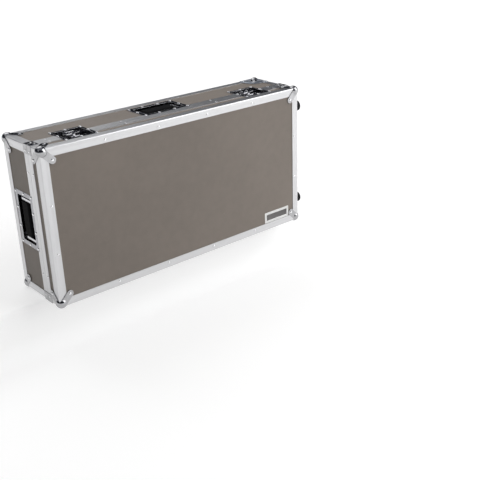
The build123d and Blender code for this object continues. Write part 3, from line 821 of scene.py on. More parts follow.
class MeshMaker:
    """Collects turned, wound and flat forms in one mesh."""

    def __init__(self) -> None:
        """Starts an empty mesh."""
        self.mesh = bmesh.new()

    def points(self, places: Iterable[Sequence[float]]) -> list[bmesh.types.BMVert]:
        """Adds a point at each place and gives them in order."""
        return [self.mesh.verts.new(place) for place in places]

    def ring(self, centre: Vector, side: Vector, other: Vector, radius: float, count: int) -> Ring:
        """Adds a ring of points, or one point where the radius is nothing.

        Args:
            centre: Middle of the ring.
            side: First direction across it.
            other: Second direction across it.
            radius: Its radius.
            count: How many points it has.

        Returns:
            The new points in order.
        """
        if radius <= 0.0:
            return self.points([centre])
        turns = (2 * math.pi * i / count for i in range(count))
        spokes = (side * math.cos(a) + other * math.sin(a) for a in turns)
        return self.points(centre + spoke * radius for spoke in spokes)

    def band(self, low: Ring, high: Ring) -> None:
        """Joins two rings with faces.

        Args:
            low: The first ring.
            high: The next ring.
        """
        count = max(len(low), len(high))
        for near in range(count):
            far = (near + 1) % count
            corners = [ring[i % len(ring)] for ring, i in ((low, near), (low, far), (high, far))]
            corners.append(high[near % len(high)])
            self.mesh.faces.new(tuple(dict.fromkeys(corners)))

    def stack(self, rings: Sequence[Ring]) -> None:
        """Joins each ring to the next one."""
        for low, high in zip(rings, rings[1:]):
            self.band(low, high)

    def solid(self, rings: Sequence[Ring]) -> bmesh.types.BMFace:
        """Joins rings and closes both ends.

        Args:
            rings: The rings, from the foot up.

        Returns:
            The face that closes the last ring.
        """
        self.stack(rings)
        self.mesh.faces.new(rings[0])
        return self.mesh.faces.new(rings[-1])

    def turned(self, profile: Sequence[Point2], at: Vector, axis: Vector, count: int) -> Ring:
        """Adds a form turned about an axis.

        Args:
            profile: Radius and height of each ring, from the foot up.
            at: Foot of the axis.
            axis: Unit direction of the axis.
            count: Points round each ring.

        Returns:
            The last ring.
        """
        side = axis.orthogonal().normalized()
        other = axis.cross(side)
        rings = [self.ring(at + axis * h, side, other, r, count) for r, h in profile]
        self.stack(rings)
        return rings[-1]

    def wire(self, path: Sequence[Vector], radius: float, count: int = 8) -> None:
        """Adds a round wire along a path, with rounded ends.

        Args:
            path: Points along the middle of the wire.
            radius: Radius of the wire.
            count: Points round it.
        """
        rings = []
        side = None
        for i, point in enumerate(path):
            ahead = path[min(i + 1, len(path) - 1)] - path[max(i - 1, 0)]
            ahead.normalize()
            if side is None:
                side = ahead.orthogonal().normalized()
            side = (side - ahead * side.dot(ahead)).normalized()
            rings.append(self.ring(point, side, ahead.cross(side), radius, count))
        outward = ((path[0], path[0] - path[1]), (path[-1], path[-1] - path[-2]))
        start, end = self.points(at + way.normalized() * radius * WIRE_END for at, way in outward)
        self.stack([[start], *rings, [end]])

    def object(self, name: str, finishes: Sequence[Finish], sharp: float = 40.0) -> bpy.types.Object:
        """Turns what was collected into an object.

        Args:
            name: Name of the piece.
            finishes: Its finishes, in the order of the faces' material numbers.
            sharp: Angle in degrees over which an edge stays sharp.

        Returns:
            The object, in the scene.
        """
        bmesh.ops.recalc_face_normals(self.mesh, faces=self.mesh.faces)
        for face in self.mesh.faces:
            face.smooth = True
        limit = math.radians(sharp)
        for edge in self.mesh.edges:
            edge.smooth = len(edge.link_faces) == 2 and edge.calc_face_angle() < limit
        data = bpy.data.meshes.new(name)
        self.mesh.to_mesh(data)
        self.mesh.free()
        for finish in finishes:
            data.materials.append(finish.material())
        return placed(name, data)


def placed(name: str, data: bpy.types.ID) -> bpy.types.Object:
    """Makes an object of a mesh, camera or lamp and puts it in the scene.

    Args:
        name: Name of the object.
        data: The mesh, camera or lamp.

    Returns:
        The object.
    """
    made = bpy.data.objects.new(name, data)
    bpy.context.scene.collection.objects.link(made)
    return made


def mount(piece: bpy.types.Object, body: str) -> None:
    """Rides a new piece on its body.

    Args:
        piece: The piece.
        body: Name of the body.
    """
    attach(piece, body)
    log.info("%s rides on %s", piece.name, body)


# ------------------------------------------------------------------ rivets and screws


@dataclass(frozen=True)
class Fastener:
    """The head of a rivet or screw.

    Attributes:
        radius: Radius of the head, in metres.
        height: Height of the head, in metres.
        facets: Points round it.
    """

    radius: float
    height: float
    facets: int = 18

    def set_at(self, maker: MeshMaker, place: Vector, axis: Vector) -> None:
        """Sets the head at a place.

        Args:
            maker: The mesh that gets the head.
            place: Middle of the head's foot.
            axis: Outward direction there.
        """
        raise NotImplementedError

    def fasten(self, name: str, body: str, spots: Iterable[Spot]) -> None:
        """Sets a head at each spot, all in one piece.

        Args:
            name: Name of the piece.
            body: Name of its body.
            spots: Each place, with the side of the case that it faces.
        """
        maker = MeshMaker()
        for place, face in spots:
            self.set_at(maker, place, face.value)
        mount(maker.object(name, [RIVET_STEEL]), body)


@dataclass(frozen=True)
class Rivet(Fastener):
    """A domed rivet head."""

    def set_at(self, maker: MeshMaker, place: Vector, axis: Vector) -> None:
        """Turns the dome at a place.

        Args:
            maker: The mesh that gets the head.
            place: Middle of the head's foot.
            axis: Outward direction there.
        """
        r, h = self.radius, self.height
        profile = [(0.0, SUNK), (r, SUNK), (r, 0.12 * h), (0.95 * r, 0.45 * h)]
        profile += [(0.8 * r, 0.78 * h), (0.52 * r, 0.95 * h), (0.25 * r, h), (0.0, h)]
        maker.turned(profile, place, axis, self.facets)


@dataclass(frozen=True)
class CrossScrew(Fastener):
    """A pan head screw on a washer, with a cross recess."""

    def set_at(self, maker: MeshMaker, place: Vector, axis: Vector) -> None:
        """Turns the head at a place and sinks the cross in it.

        Args:
            maker: The mesh that gets the screw.
            place: Middle of the head's foot.
            axis: Outward direction there.
        """
        r, h = self.radius, self.height
        washer = 1.2 * r
        profile = [(0.0, SUNK), (washer, SUNK), (washer, 0.25 * MM), (r, 0.3 * MM)]
        profile += [(r, 0.55 * h), (0.93 * r, 0.8 * h), (0.7 * r, h)]
        rim = maker.turned(profile, place, axis, self.facets)
        side = axis.orthogonal().normalized()
        other = axis.cross(side)
        arm, slot = 0.5 * r, 0.13 * r
        corners = []
        for a, b in ((side, other), (other, -side), (-side, -other), (-other, side)):
            corners += [a * arm - b * slot, a * arm + b * slot, a * slot + b * slot]
        top = place + axis * h
        lip = maker.points(top + c for c in corners)
        floor = maker.points(top + c * 0.8 - axis * 0.5 * h for c in corners)
        edges = [maker.mesh.edges.get((a, b)) for a, b in zip(rim, rim[1:] + rim[:1])]
        edges += [maker.mesh.edges.new((a, b)) for a, b in zip(lip, lip[1:] + lip[:1])]
        bmesh.ops.triangle_fill(maker.mesh, edges=edges, use_beauty=True)
        maker.band(lip, floor)
        maker.mesh.faces.new(floor)


STRIP_RIVET = Rivet(3.6 * MM, 1.2 * MM)
DISH_RIVET = Rivet(4.2 * MM, 2.2 * MM)
BRACE_RIVET = Rivet(3.0 * MM, 1.0 * MM)
FOOT_SCREW = CrossScrew(4.6 * MM, 2.8 * MM, facets=24)


# ------------------------------------------------------------------ sub-assemblies


class Assembly:
    """A part of the case: CAD pieces to dress, pieces to build, or both."""

    def dress(self) -> None:
        """Gives the CAD pieces their finishes."""

    def build(self) -> None:
        """Builds the pieces that are not in the CAD."""


@dataclass
class Panels(Assembly):
    """The laminated panels.

    Attributes:
        skin: Depth inside a panel's outer face where the laminate ends, in metres.
    """

    skin: float = 4.5 * MM

    def dress(self) -> None:
        """Gives each panel laminate outside and backing inside."""
        sides = (("left", 0, 1), ("right", 0, -1), ("top", 2, -1), ("bottom", 2, 1))
        for half, _ in HALVES:
            for side, axis, inward in sides:
                self.dress_panel(f"{half}_{side}_panel", axis, inward)
        self.dress_panel("lid_front_panel", 1, 1)
        self.dress_panel("base_back_panel", 1, -1)

    def dress_panel(self, node: str, axis: int, inward: int) -> None:
        """Dresses one panel.

        Args:
            node: Name of the CAD node.
            axis: 0, 1 or 2 for the direction through the panel.
            inward: 1 or -1 for the direction from its outer face to its inner one.
        """
        low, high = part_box(node)
        outer = low[axis] if inward > 0 else high[axis]
        skin_at = outer + inward * self.skin
        finish = Laminate(f"laminate_{node}", Slot.LAMINATE, GREY_SKIN, axis, skin_at, inward < 0)
        finish.on_node(node)
        log.info("%s gets laminate", node)


@dataclass
class Rails(Assembly):
    """The edge rails, the tongue and groove rails, and the rivets in them.

    Attributes:
        shell: Places of the case.
        long_rivets: Places along the length from the middle, in metres.
        short_rivets: Places up from the middle, in metres.
        parting_long: The same along the tongue and groove rails.
        parting_short: The same on their uprights.
        rivet_in: Outer edge of the case to a rivet, in metres.
        parting_in: Parting line to a rivet, in metres.
    """

    shell: Shell
    long_rivets: Sequence[float] = (-0.267, -0.089, 0.089, 0.267)
    short_rivets: Sequence[float] = (-0.07, 0.07)
    parting_long: Sequence[float] = (-0.405, -0.165, 0.165, 0.405)
    parting_short: Sequence[float] = (-0.15, 0.15)
    rivet_in: float = 16.0 * MM
    parting_in: float = 14.0 * MM

    def dress(self) -> None:
        """Gives each rail anodised aluminium drawn along its length."""
        shell = self.shell
        middle = (shell.middle_x, shell.middle_z)
        half = ((shell.right - shell.left) / 2, (shell.top - shell.bottom) / 2)
        edges, short, level, upright = (
            DrawnMetal(name, Slot.RAIL, ANODISED, run, middle=middle, half=half)
            for name, run in (
                ("rail_round_frame", Run.ROUND_FRAME),
                ("rail_along_depth", Run.ALONG_Y),
                ("rail_along_length", Run.ALONG_X),
                ("rail_upright", Run.ALONG_Z),
            )
        )
        edges.on_node("lid_front_edges", "base_back_edges")
        short.on_node("lid_corner_edges", "base_corner_edges")
        for kind in ("lid_tongue", "base_groove"):
            level.on_node(f"{kind}_top", f"{kind}_bottom")
            upright.on_node(f"{kind}_sides")
        log.info("rails get drawn aluminium")

    def build(self) -> None:
        """Sets the rivets of the rails."""
        shell = self.shell
        STRIP_RIVET.fasten("lid_front_rivets", "lid", self.frame_spots(Face.FRONT, shell.front))
        STRIP_RIVET.fasten("base_back_rivets", "base", self.frame_spots(Face.BACK, shell.back))
        for half, side in HALVES:
            spots = self.parting_spots(shell.parting + side * self.parting_in)
            STRIP_RIVET.fasten(f"{half}_parting_rivets", half, spots)

    def frame_spots(self, face: Face, y: float) -> Iterator[Spot]:
        """Spots of the rivets on the front or back face.

        Args:
            face: The face.
            y: Its place along the depth.

        Yields:
            Each spot.
        """
        shell = self.shell
        for z in (shell.bottom + self.rivet_in, shell.top - self.rivet_in):
            for offset in self.long_rivets:
                yield Vector((shell.middle_x + offset, y, z)), face
        for x in (shell.left + self.rivet_in, shell.right - self.rivet_in):
            for offset in self.short_rivets:
                yield Vector((x, y, shell.middle_z + offset)), face

    def parting_spots(self, y: float) -> Iterator[Spot]:
        """Spots of the rivets on one ring of parting rails.

        Args:
            y: Place of the rivets along the depth.

        Yields:
            Each spot.
        """
        for face, z in self.shell.levels:
            for offset in self.parting_long:
                yield Vector((self.shell.middle_x + offset, y, z)), face
        for face, x in self.shell.ends:
            for offset in self.parting_short:
                yield Vector((x, y, self.shell.middle_z + offset)), face


@dataclass
class Corners(Assembly):
    """Ball corners, the braces at the parting line and their rivets.

    Attributes:
        shell: Places of the case.
        brace_sheet: Thickness of a brace, in metres.
        brace_in: Edge of the case to a brace's rivet, in metres.
        brace_at: Parting line to the middle of a brace, in metres.
    """

    shell: Shell
    brace_sheet: float = 1.2 * MM
    brace_in: float = 17.0 * MM
    brace_at: float = 10.5 * MM

    def dress(self) -> None:
        """Gives the balls and braces zinc and their rivets plating."""
        for half, _ in HALVES:
            for level in ("top", "bottom"):
                ZINC.on_node(f"{half}_ball_{level}_left", f"{half}_ball_{level}_right")
            ZINC.on_node(f"{half}_braces")
            RIVET_STEEL.on_node(f"{half}_rivets")
        log.info("corners get zinc")

    def build(self) -> None:
        """Sets two rivets in each brace."""
        for half, side in HALVES:
            spots = self.brace_spots(self.shell.parting + side * self.brace_at)
            BRACE_RIVET.fasten(f"{half}_brace_rivets", half, spots)

    def brace_spots(self, y: float) -> Iterator[Spot]:
        """Spots of the rivets in the braces of one half.

        Args:
            y: Place of the rivets along the depth.

        Yields:
            Each spot.
        """
        for level, z in self.shell.levels:
            for end, x in self.shell.ends:
                on_level = Vector((x - end.value.x * self.brace_in, y, z))
                on_end = Vector((x, y, z - level.value.z * self.brace_in))
                for place, face in ((on_level, level), (on_end, end)):
                    yield place + face.value * self.brace_sheet, face


@dataclass
class CornerPlates(Assembly):
    """Pressed plates over the two base corners away from the end handle.

    Attributes:
        shell: Places of the case.
        reach: Length of a plate's two outer sides, in metres.
        turn: Radius of its inner corner, in metres.
        nip: Radius of its tips, in metres.
        sheet: Thickness of the plate, in metres.
        bevel: Width of its sloped rim, in metres.
        rivet_in: Side of the plate to the rivets at its tips, in metres.
        rivet_out: How far out the middle rivet is, as a share of the inner corner's radius.
        least: Least radius of a corner, in metres.
        bend_steps: Number of flats in each corner.
    """

    shell: Shell
    reach: float = 72.0 * MM
    turn: float = 42.0 * MM
    nip: float = 8.0 * MM
    sheet: float = 1.2 * MM
    bevel: float = 1.4 * MM
    rivet_in: float = 10.0 * MM
    rivet_out: float = 0.45
    least: float = 0.5 * MM
    bend_steps: int = 8

    def outline(self, inset: float) -> list[Point2]:
        """Points round a plate, as distances in from the case's two edges.

        Args:
            inset: Distance inside the plate's own edge.

        Returns:
            The points in order, from the case's corner.
        """
        near, far = inset, self.reach - inset
        points = [(near, near)]
        for x, y, radius, start in (
            (far, near, self.nip, -90.0),
            (far, far, self.turn, 0.0),
            (near, far, self.nip, 90.0),
        ):
            r = max(self.least, radius - inset)
            middle = (x - r if x == far else x + r, y - r if y == far else y + r)
            points += arc(middle, r, start, start + 90.0, self.bend_steps)
        return points

    def on_plate(self, spot: Point2, z: float, face: Face, rise: float) -> Vector:
        """The place of a spot on a plate, raised by a share of the sheet."""
        corner = Vector((self.shell.right - spot[0], self.shell.back - spot[1], z))
        return corner + face.value * rise * self.sheet

    def build(self) -> None:
        """Builds the plate on the top and the one on the bottom."""
        far, near = self.reach - self.rivet_in, self.rivet_in + self.bevel
        middle = self.reach - self.turn + self.turn * self.rivet_out
        for face, z in self.shell.levels:
            level = face.name.lower()
            maker = MeshMaker()
            rings = [
                maker.points(self.on_plate(spot, z, face, rise) for spot in self.outline(inset))
                for inset, rise in ((0.0, 0.0), (0.0, 0.4), (self.bevel, 1.0))
            ]
            maker.solid(rings)
            piece = maker.object(f"base_corner_plate_{level}", [DULL_ZINC])
            mount(piece, "base")
            rivets = ((far, near), (middle, middle), (near, far))
            spots = ((self.on_plate(spot, z, face, 1.0), face) for spot in rivets)
            DISH_RIVET.fasten(f"base_corner_plate_rivets_{level}", "base", spots)


@dataclass
class Latches(Assembly):
    """The two butterfly latches.

    Attributes:
        shell: Places of the case.
        rim_in: Edge of the dish to the middle of its rim, in metres.
        side_at: Parting line to the rivets beside it, in metres.
    """

    shell: Shell
    rim_in: float = 4.6 * MM
    side_at: float = 12.0 * MM

    def dress(self) -> None:
        """Gives the dishes dark chrome and the moving pieces bright chrome."""
        for side in ("left", "right"):
            DISH_CHROME.on_node(f"latch_{side}_dish", f"latch_{side}_keeper")
            LATCH_CHROME.on_node(*(f"latch_{side}_{piece}" for piece in ("hook", "rotor", "wing")))
        log.info("latches get chrome")

    def build(self) -> None:
        """Sets the rivets of both halves of each latch."""
        for side in ("left", "right"):
            for part, body, near in (("dish", "base", 1.0), ("keeper", "lid", -1.0)):
                low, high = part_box(f"latch_{side}_{part}")
                far_y = (high.y if near > 0 else low.y) - near * self.rim_in
                side_y = self.shell.parting + near * self.side_at
                xs = (low.x + self.rim_in, high.x - self.rim_in)
                rivets = [(x, far_y) for x in (xs[0], (low.x + high.x) / 2, xs[1])]
                if part == "dish":
                    rivets += [(x, side_y) for x in xs]
                spots = ((Vector((x, y, high.z)), Face.TOP) for x, y in rivets)
                DISH_RIVET.fasten(f"latch_{side}_{part}_rivets", body, spots)


@dataclass(frozen=True)
class HandlePlace:
    """Where a recessed handle is.

    Attributes:
        name: top or end.
        face: Side of the case that it is on.
        run: Direction of its grip.
    """

    name: str
    face: Face
    run: Axis


@dataclass
class Handles(Assembly):
    """The two recessed handles with sprung bails.

    Attributes:
        places: Both handles.
        rim_in: Edge of the dish to its rivets, in metres.
        side_rivets: Places of the rivets on a long side, from its middle, in metres.
        turns: Turns of each spring.
        turn_steps: Points along the wire in a turn.
        crowding: How much closer the turns lie towards the ends of a spring.
        wire: Radius of the spring wire, in metres.
        coil: Radius of the coil at the middle of the wire, in metres.
    """

    places: Sequence[HandlePlace] = (
        HandlePlace("top", Face.TOP, Axis.X),
        HandlePlace("end", Face.LEFT, Axis.Z),
    )
    rim_in: float = 6.0 * MM
    side_rivets: Sequence[float] = (-0.028, 0.028)
    turns: int = 3
    turn_steps: int = 16
    crowding: float = 0.045
    wire: float = 0.6 * MM
    coil: float = 3.6 * MM

    def dress(self) -> None:
        """Gives the dishes dark chrome, the bails bright chrome and the grips rubber."""
        for handle in self.places:
            DISH_CHROME.on_node(f"handle_{handle.name}_dish")
            LATCH_CHROME.on_node(f"handle_{handle.name}_bail")
            GRIP_RUBBER.on_node(f"handle_{handle.name}_grip")
        log.info("handles get chrome and rubber")

    def build(self) -> None:
        """Sets the rivets and winds the springs of both handles."""
        for handle in self.places:
            self.build_rivets(handle)
            self.build_springs(handle)

    def build_rivets(self, handle: HandlePlace) -> None:
        """Sets the rivets in the rim of a dish.

        Args:
            handle: The handle.
        """
        low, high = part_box(f"handle_{handle.name}_dish")
        middle, half = (low + high) / 2, (high - low) / 2
        normal, run, across = handle.face.value, handle.run.value, Axis.Y.value
        reach = abs(half.dot(run)) - self.rim_in
        side = abs(half.dot(across)) - self.rim_in
        flange = middle + normal * abs(half.dot(normal))
        rivets = [(a * reach, b * side) for a in (-1, 1) for b in (-1, 0, 1)]
        rivets += [(a, b * side) for a in self.side_rivets for b in (-1, 1)]
        spots = ((flange + run * a + across * b, handle.face) for a, b in rivets)
        DISH_RIVET.fasten(f"handle_{handle.name}_rivets", "base", spots)

    def build_springs(self, handle: HandlePlace) -> None:
        """Winds the two springs where their plain solids are.

        Args:
            handle: The handle.
        """
        node = f"handle_{handle.name}_springs"
        low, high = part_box(node)
        run = handle.run.value
        middle, half = (low + high) / 2, abs(((high - low) / 2).dot(run))
        points = (vertex.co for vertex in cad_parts[node].data.vertices)
        length = half - min(abs((point - middle).dot(run)) for point in points)
        maker = MeshMaker()
        for sign in (-1.0, 1.0):
            start = middle + run * sign * (half - self.wire)
            maker.wire(self.coil_path(start, run * -sign, length - 2 * self.wire), self.wire)
        piece = maker.object(f"handle_{handle.name}_coils", [SPRING_STEEL])
        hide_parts(node)
        mount(piece, "base")

    def coil_path(self, start: Vector, ahead: Vector, length: float) -> list[Vector]:
        """Points along a coil.

        Args:
            start: Middle of the coil at its start.
            ahead: Direction of its axis.
            length: Its length.

        Returns:
            The points.
        """
        side = ahead.orthogonal().normalized()
        other = ahead.cross(side)
        steps = self.turns * self.turn_steps
        path = []
        for i in range(steps + 1):
            share = i / steps
            turn = 2 * math.pi * self.turns * share
            eased = share - self.crowding * math.sin(2 * math.pi * share)
            around = side * math.cos(turn) + other * math.sin(turn)
            path.append(start + ahead * (length * eased) + around * self.coil)
        return path


@dataclass
class Hinges(Assembly):
    """The butt hinges under the case.

    Attributes:
        shell: Places of the case.
        count: How many there are.
        spacing: Distance between their middles, in metres.
        rivet_reach: Middle of a hinge to its outer rivets, in metres.
        rivet_at: Parting line to the rivets, in metres.
        sheet: Thickness of a leaf, in metres.
    """

    shell: Shell
    count: int = 3
    spacing: float = 0.330
    rivet_reach: float = 21.0 * MM
    rivet_at: float = 12.5 * MM
    sheet: float = 1.2 * MM

    def dress(self) -> None:
        """Gives the leaves zinc and the pins plating."""
        ZINC.on_node("hinge_base_leaves", "hinge_lid_leaves")
        RIVET_STEEL.on_node("hinge_pins")
        log.info("hinges get zinc")

    def build(self) -> None:
        """Sets three rivets in each leaf."""
        xs = []
        for i in range(self.count):
            middle = self.shell.middle_x + (i - (self.count - 1) / 2) * self.spacing
            xs += [middle - self.rivet_reach, middle, middle + self.rivet_reach]
        z = self.shell.bottom - self.sheet
        for half, side in reversed(HALVES):
            y = self.shell.parting + side * self.rivet_at
            spots = ((Vector((x, y, z)), Face.BOTTOM) for x in xs)
            BRACE_RIVET.fasten(f"hinge_{half}_rivets", half, spots)


@dataclass
class Feet(Assembly):
    """The rubber feet and the screws in their bores.

    Attributes:
        shell: Places of the case.
        from_edge: Edge of a face to the nearer feet, in metres.
        end_inset: Front and back of the case to the end feet, in metres.
        panel_in: Rail face to panel face, in metres.
        bore_floor: Foot of the rubber to the floor of its bore, in metres.
    """

    shell: Shell
    from_edge: float = 69.0 * MM
    end_inset: float = 30.0 * MM
    panel_in: float = 1.5 * MM
    bore_floor: float = 8.0 * MM

    def dress(self) -> None:
        """Gives the feet rubber."""
        FOOT_RUBBER.on_node("base_feet", "lid_feet")
        log.info("feet get rubber")

    def build(self) -> None:
        """Sets a screw in each foot."""
        shell = self.shell
        end_x = shell.right + self.bore_floor
        back_y = shell.back - self.panel_in + self.bore_floor
        back_xs = (shell.left + self.from_edge, shell.right - self.from_edge)
        ends = {"lid": shell.front + self.end_inset, "base": shell.back - self.end_inset}
        for body, y in ends.items():
            spots = []
            for z in (shell.bottom + self.from_edge, shell.top - self.from_edge):
                spots.append((Vector((end_x, y, z)), Face.RIGHT))
                if body == "base":
                    spots += [(Vector((x, back_y, z)), Face.BACK) for x in back_xs]
            FOOT_SCREW.fasten(f"{body}_foot_screws", body, spots)


@dataclass
class Badge(Assembly):
    """The blank plate on the lid.

    Attributes:
        left: Place of its left edge, in metres.
        right: Place of its right edge, in metres.
        bottom: Place of its lower edge, in metres.
        top: Place of its upper edge, in metres.
        thickness: Height of the border over the panel, in metres.
        border: Width of the border, in metres.
        corner: Radius of its corners, in metres.
        least: Least radius of a corner, in metres.
        bend_steps: Number of flats in each corner.
    """

    left: float = 301.5 * MM
    right: float = 409.5 * MM
    bottom: float = 31.0 * MM
    top: float = 68.0 * MM
    thickness: float = 1.0 * MM
    border: float = 8.5 * MM
    corner: float = 3.0 * MM
    least: float = 0.6 * MM
    bend_steps: int = 5

    def outline(self, inset: float) -> list[Point2]:
        """Points round the plate.

        Args:
            inset: Distance inside the plate's edge.

        Returns:
            The points in order.
        """
        radius = max(self.least, self.corner - inset)
        left, right = self.left + inset + radius, self.right - inset - radius
        low, high = self.bottom + inset + radius, self.top - inset - radius
        corners = ((right, high), (left, high), (left, low), (right, low))
        points = []
        for middle, start in zip(corners, (0.0, 90.0, 180.0, 270.0)):
            points += arc(middle, radius, start, start + 90.0, self.bend_steps)
        return points

    def build(self) -> None:
        """Builds the plate with a raised border round a sunk field."""
        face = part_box("lid_front_panel")[0].y
        t = self.thickness
        steps = (  # inset from the edge, and place behind the panel's face
            (0.0, -SUNK),
            (0.0, -0.75 * t),
            (0.25 * MM, -t),
            (self.border - 0.4 * MM, -t),
            (self.border, -0.55 * t),
        )
        maker = MeshMaker()
        rings = [maker.points((x, face + y, z) for x, z in self.outline(inset)) for inset, y in steps]
        maker.solid(rings).material_index = 1
        piece = maker.object("lid_blank_plate", [PLATE_WHITE, PLATE_DARK])
        mount(piece, "lid")


@dataclass
class Lining(Assembly):
    """The foam that lines the case.

    Attributes:
        voxel: Grid of the remeshed foam, in metres.
        bump_pitch: Distance between the bumps of the lid's foam, in metres.
        bump_height: Height of the bumps, in metres.
        bump_round: Power that rounds the bumps: below 1 is fuller.
        grid: Step of the lid foam's surface, in metres.
        weld_within: Distance within which doubled points are joined, in metres.
        easing: Factor and turns of the smoothing.
        waves: Pitch, per metre, and depth of each wave that makes the faces uneven.
        sag: How far the faces sink on average, doubled, in metres.
    """

    voxel: float = 5.0 * MM
    bump_pitch: float = 38.0 * MM
    bump_height: float = 11.0 * MM
    bump_round: float = 0.8
    grid: float = 4.75 * MM
    weld_within: float = 0.02 * MM
    easing: tuple[float, int] = (0.5, 4)
    waves: Sequence[Point2] = ((22.0, 0.5), (70.0, 0.2))
    sag: float = 0.5 * MM

    def build(self) -> None:
        """Builds the three linings and hides their plain solids."""
        self.soften("base_floor_foam", "base", 0.95)
        self.soften("base_side_foam", "base", 0.95)
        self.build_bumps()

    def soften(self, node: str, body: str, fill: float) -> None:
        """Rounds and joins the plain blocks of a lining.

        Args:
            node: Name of the CAD node.
            body: Name of its body.
            fill: How full the foam is, from 0 to 1; not used.
        """
        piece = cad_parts[node].copy()
        piece.data = piece.data.copy()
        piece.name = f"{node}_cut"
        piece.parent = None
        for key in list(piece.keys()):
            if key.startswith("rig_"):
                del piece[key]
        bpy.context.scene.collection.objects.link(piece)
        self.weld(piece)
        remesh = piece.modifiers.new("joined", "REMESH")
        remesh.mode = "VOXEL"
        remesh.voxel_size = self.voxel
        smooth = piece.modifiers.new("eased", "SMOOTH")
        smooth.factor, smooth.iterations = self.easing
        graph = bpy.context.evaluated_depsgraph_get()
        data = bpy.data.meshes.new_from_object(piece.evaluated_get(graph))
        piece.modifiers.clear()
        piece.data = data
        self.settle(piece, *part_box(node))
        piece.data.materials.clear()
        piece.data.materials.append(CHARCOAL_FOAM.material())
        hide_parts(node)
        mount(piece, body)

    def weld(self, piece: bpy.types.Object) -> None:
        """Joins doubled points.

        Args:
            piece: The piece to weld.
        """
        mesh = bmesh.new()
        mesh.from_mesh(piece.data)
        bmesh.ops.remove_doubles(mesh, verts=mesh.verts, dist=self.weld_within)
        mesh.to_mesh(piece.data)
        mesh.free()

    def settle(self, piece: bpy.types.Object, low: Vector, high: Vector) -> None:
        """Gives the faces a faint unevenness and keeps the foam in its space.

        Args:
            piece: The foam.
            low: Lowest corner of its space.
            high: Highest corner of its space.
        """
        settled = []
        for vertex in piece.data.vertices:
            wave = sum(noise.noise(vertex.co * pitch) * depth for pitch, depth in self.waves)
            point = vertex.co - vertex.normal * (0.5 + wave) * self.sag
            settled += [min(max(point[i], low[i]), high[i]) for i in range(3)]
        piece.data.vertices.foreach_set("co", settled)
        piece.data.update()
        for face in piece.data.polygons:
            face.use_smooth = True

    def build_bumps(self) -> None:
        """Builds the lid's foam with rows of rounded bumps."""
        low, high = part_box("lid_foam")
        columns = round((high.x - low.x) / self.grid)
        rows = round((high.z - low.z) / self.grid)
        xs = [low.x + (high.x - low.x) * i / columns for i in range(columns + 1)]
        zs = [low.z + (high.z - low.z) * j / rows for j in range(rows + 1)]
        maker = MeshMaker()
        sheet = [maker.points((x, self.bump_surface(x, z, high), z) for z in zs) for x in xs]
        for line, after in zip(sheet, sheet[1:]):
            for j in range(rows):
                maker.mesh.faces.new((line[j], after[j], after[j + 1], line[j + 1]))
        rim = [line[0] for line in sheet] + sheet[-1][1:]
        rim += [line[-1] for line in reversed(sheet[:-1])] + sheet[0][-2:0:-1]
        back = maker.points((v.co.x, low.y, v.co.z) for v in rim)
        maker.band(rim, back)
        maker.mesh.faces.new(back)
        piece = maker.object("lid_foam_bumps", [CHARCOAL_FOAM], sharp=60.0)
        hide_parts("lid_foam")
        mount(piece, "lid")

    def bump_surface(self, x: float, z: float, high: Vector) -> float:
        """Place of the lid foam's surface along the depth.

        Args:
            x: Place along the length.
            z: Place up.
            high: Highest corner of the foam's space.

        Returns:
            The surface at that place.
        """
        turn = 2 * math.pi / self.bump_pitch
        wave = math.cos(turn * x) * math.cos(turn * z)
        wave = math.copysign(abs(wave) ** self.bump_round, wave)
        return high.y - self.bump_height * (1.0 - wave) / 2


# ------------------------------------------------------------------ stage


@dataclass(frozen=True)
class Viewpoint:
    """Where the camera stands and looks.

    Attributes:
        eye: Place of the camera, in metres.
        heading: Degrees from +Y towards +X.
        drop: Degrees below the horizon.
        roll: Degrees that the camera leans.
        lens: Focal length, in mm.
        sensor: Width of the sensor, in mm.
        reach: Nearest and farthest distance that it sees, in metres.
    """

    eye: Vector = field(default_factory=lambda: Vector((-1.3455, -1.93375, 1.0528)))
    heading: float = 40.123
    drop: float = 23.705
    roll: float = -2.033
    lens: float = 59.43
    sensor: float = 36.0
    reach: Point2 = (0.05, 100.0)

    def build(self) -> None:
        """Makes the camera and gives it to the scene."""
        data = bpy.data.cameras.new("viewpoint")
        data.sensor_width, data.lens = self.sensor, self.lens
        data.clip_start, data.clip_end = self.reach
        turn = Matrix.Rotation(math.radians(-self.heading), 4, "Z")
        tip = Matrix.Rotation(math.radians(90.0 - self.drop), 4, "X")
        lean = Matrix.Rotation(math.radians(self.roll), 4, "Z")
        camera = placed("viewpoint", data)
        camera.matrix_world = Matrix.Translation(self.eye) @ turn @ tip @ lean
        bpy.context.scene.camera = camera


@dataclass(frozen=True)
class Lamp:
    """A soft box.

    Attributes:
        name: Its name.
        place: Where it is, in metres.
        aim: Where it points, in metres.
        side: Length of its sides, in metres.
        power: Its power in watts.
    """

    name: str
    place: Vector
    aim: Vector
    side: float
    power: float

    def build(self) -> None:
        """Makes the lamp."""
        data = bpy.data.lights.new(self.name, "AREA")
        data.shape, data.size, data.energy = "SQUARE", self.side, self.power
        lamp = placed(self.name, data)
        lamp.location = self.place
        lamp.rotation_euler = (self.aim - self.place).to_track_quat("-Z", "Y").to_euler()


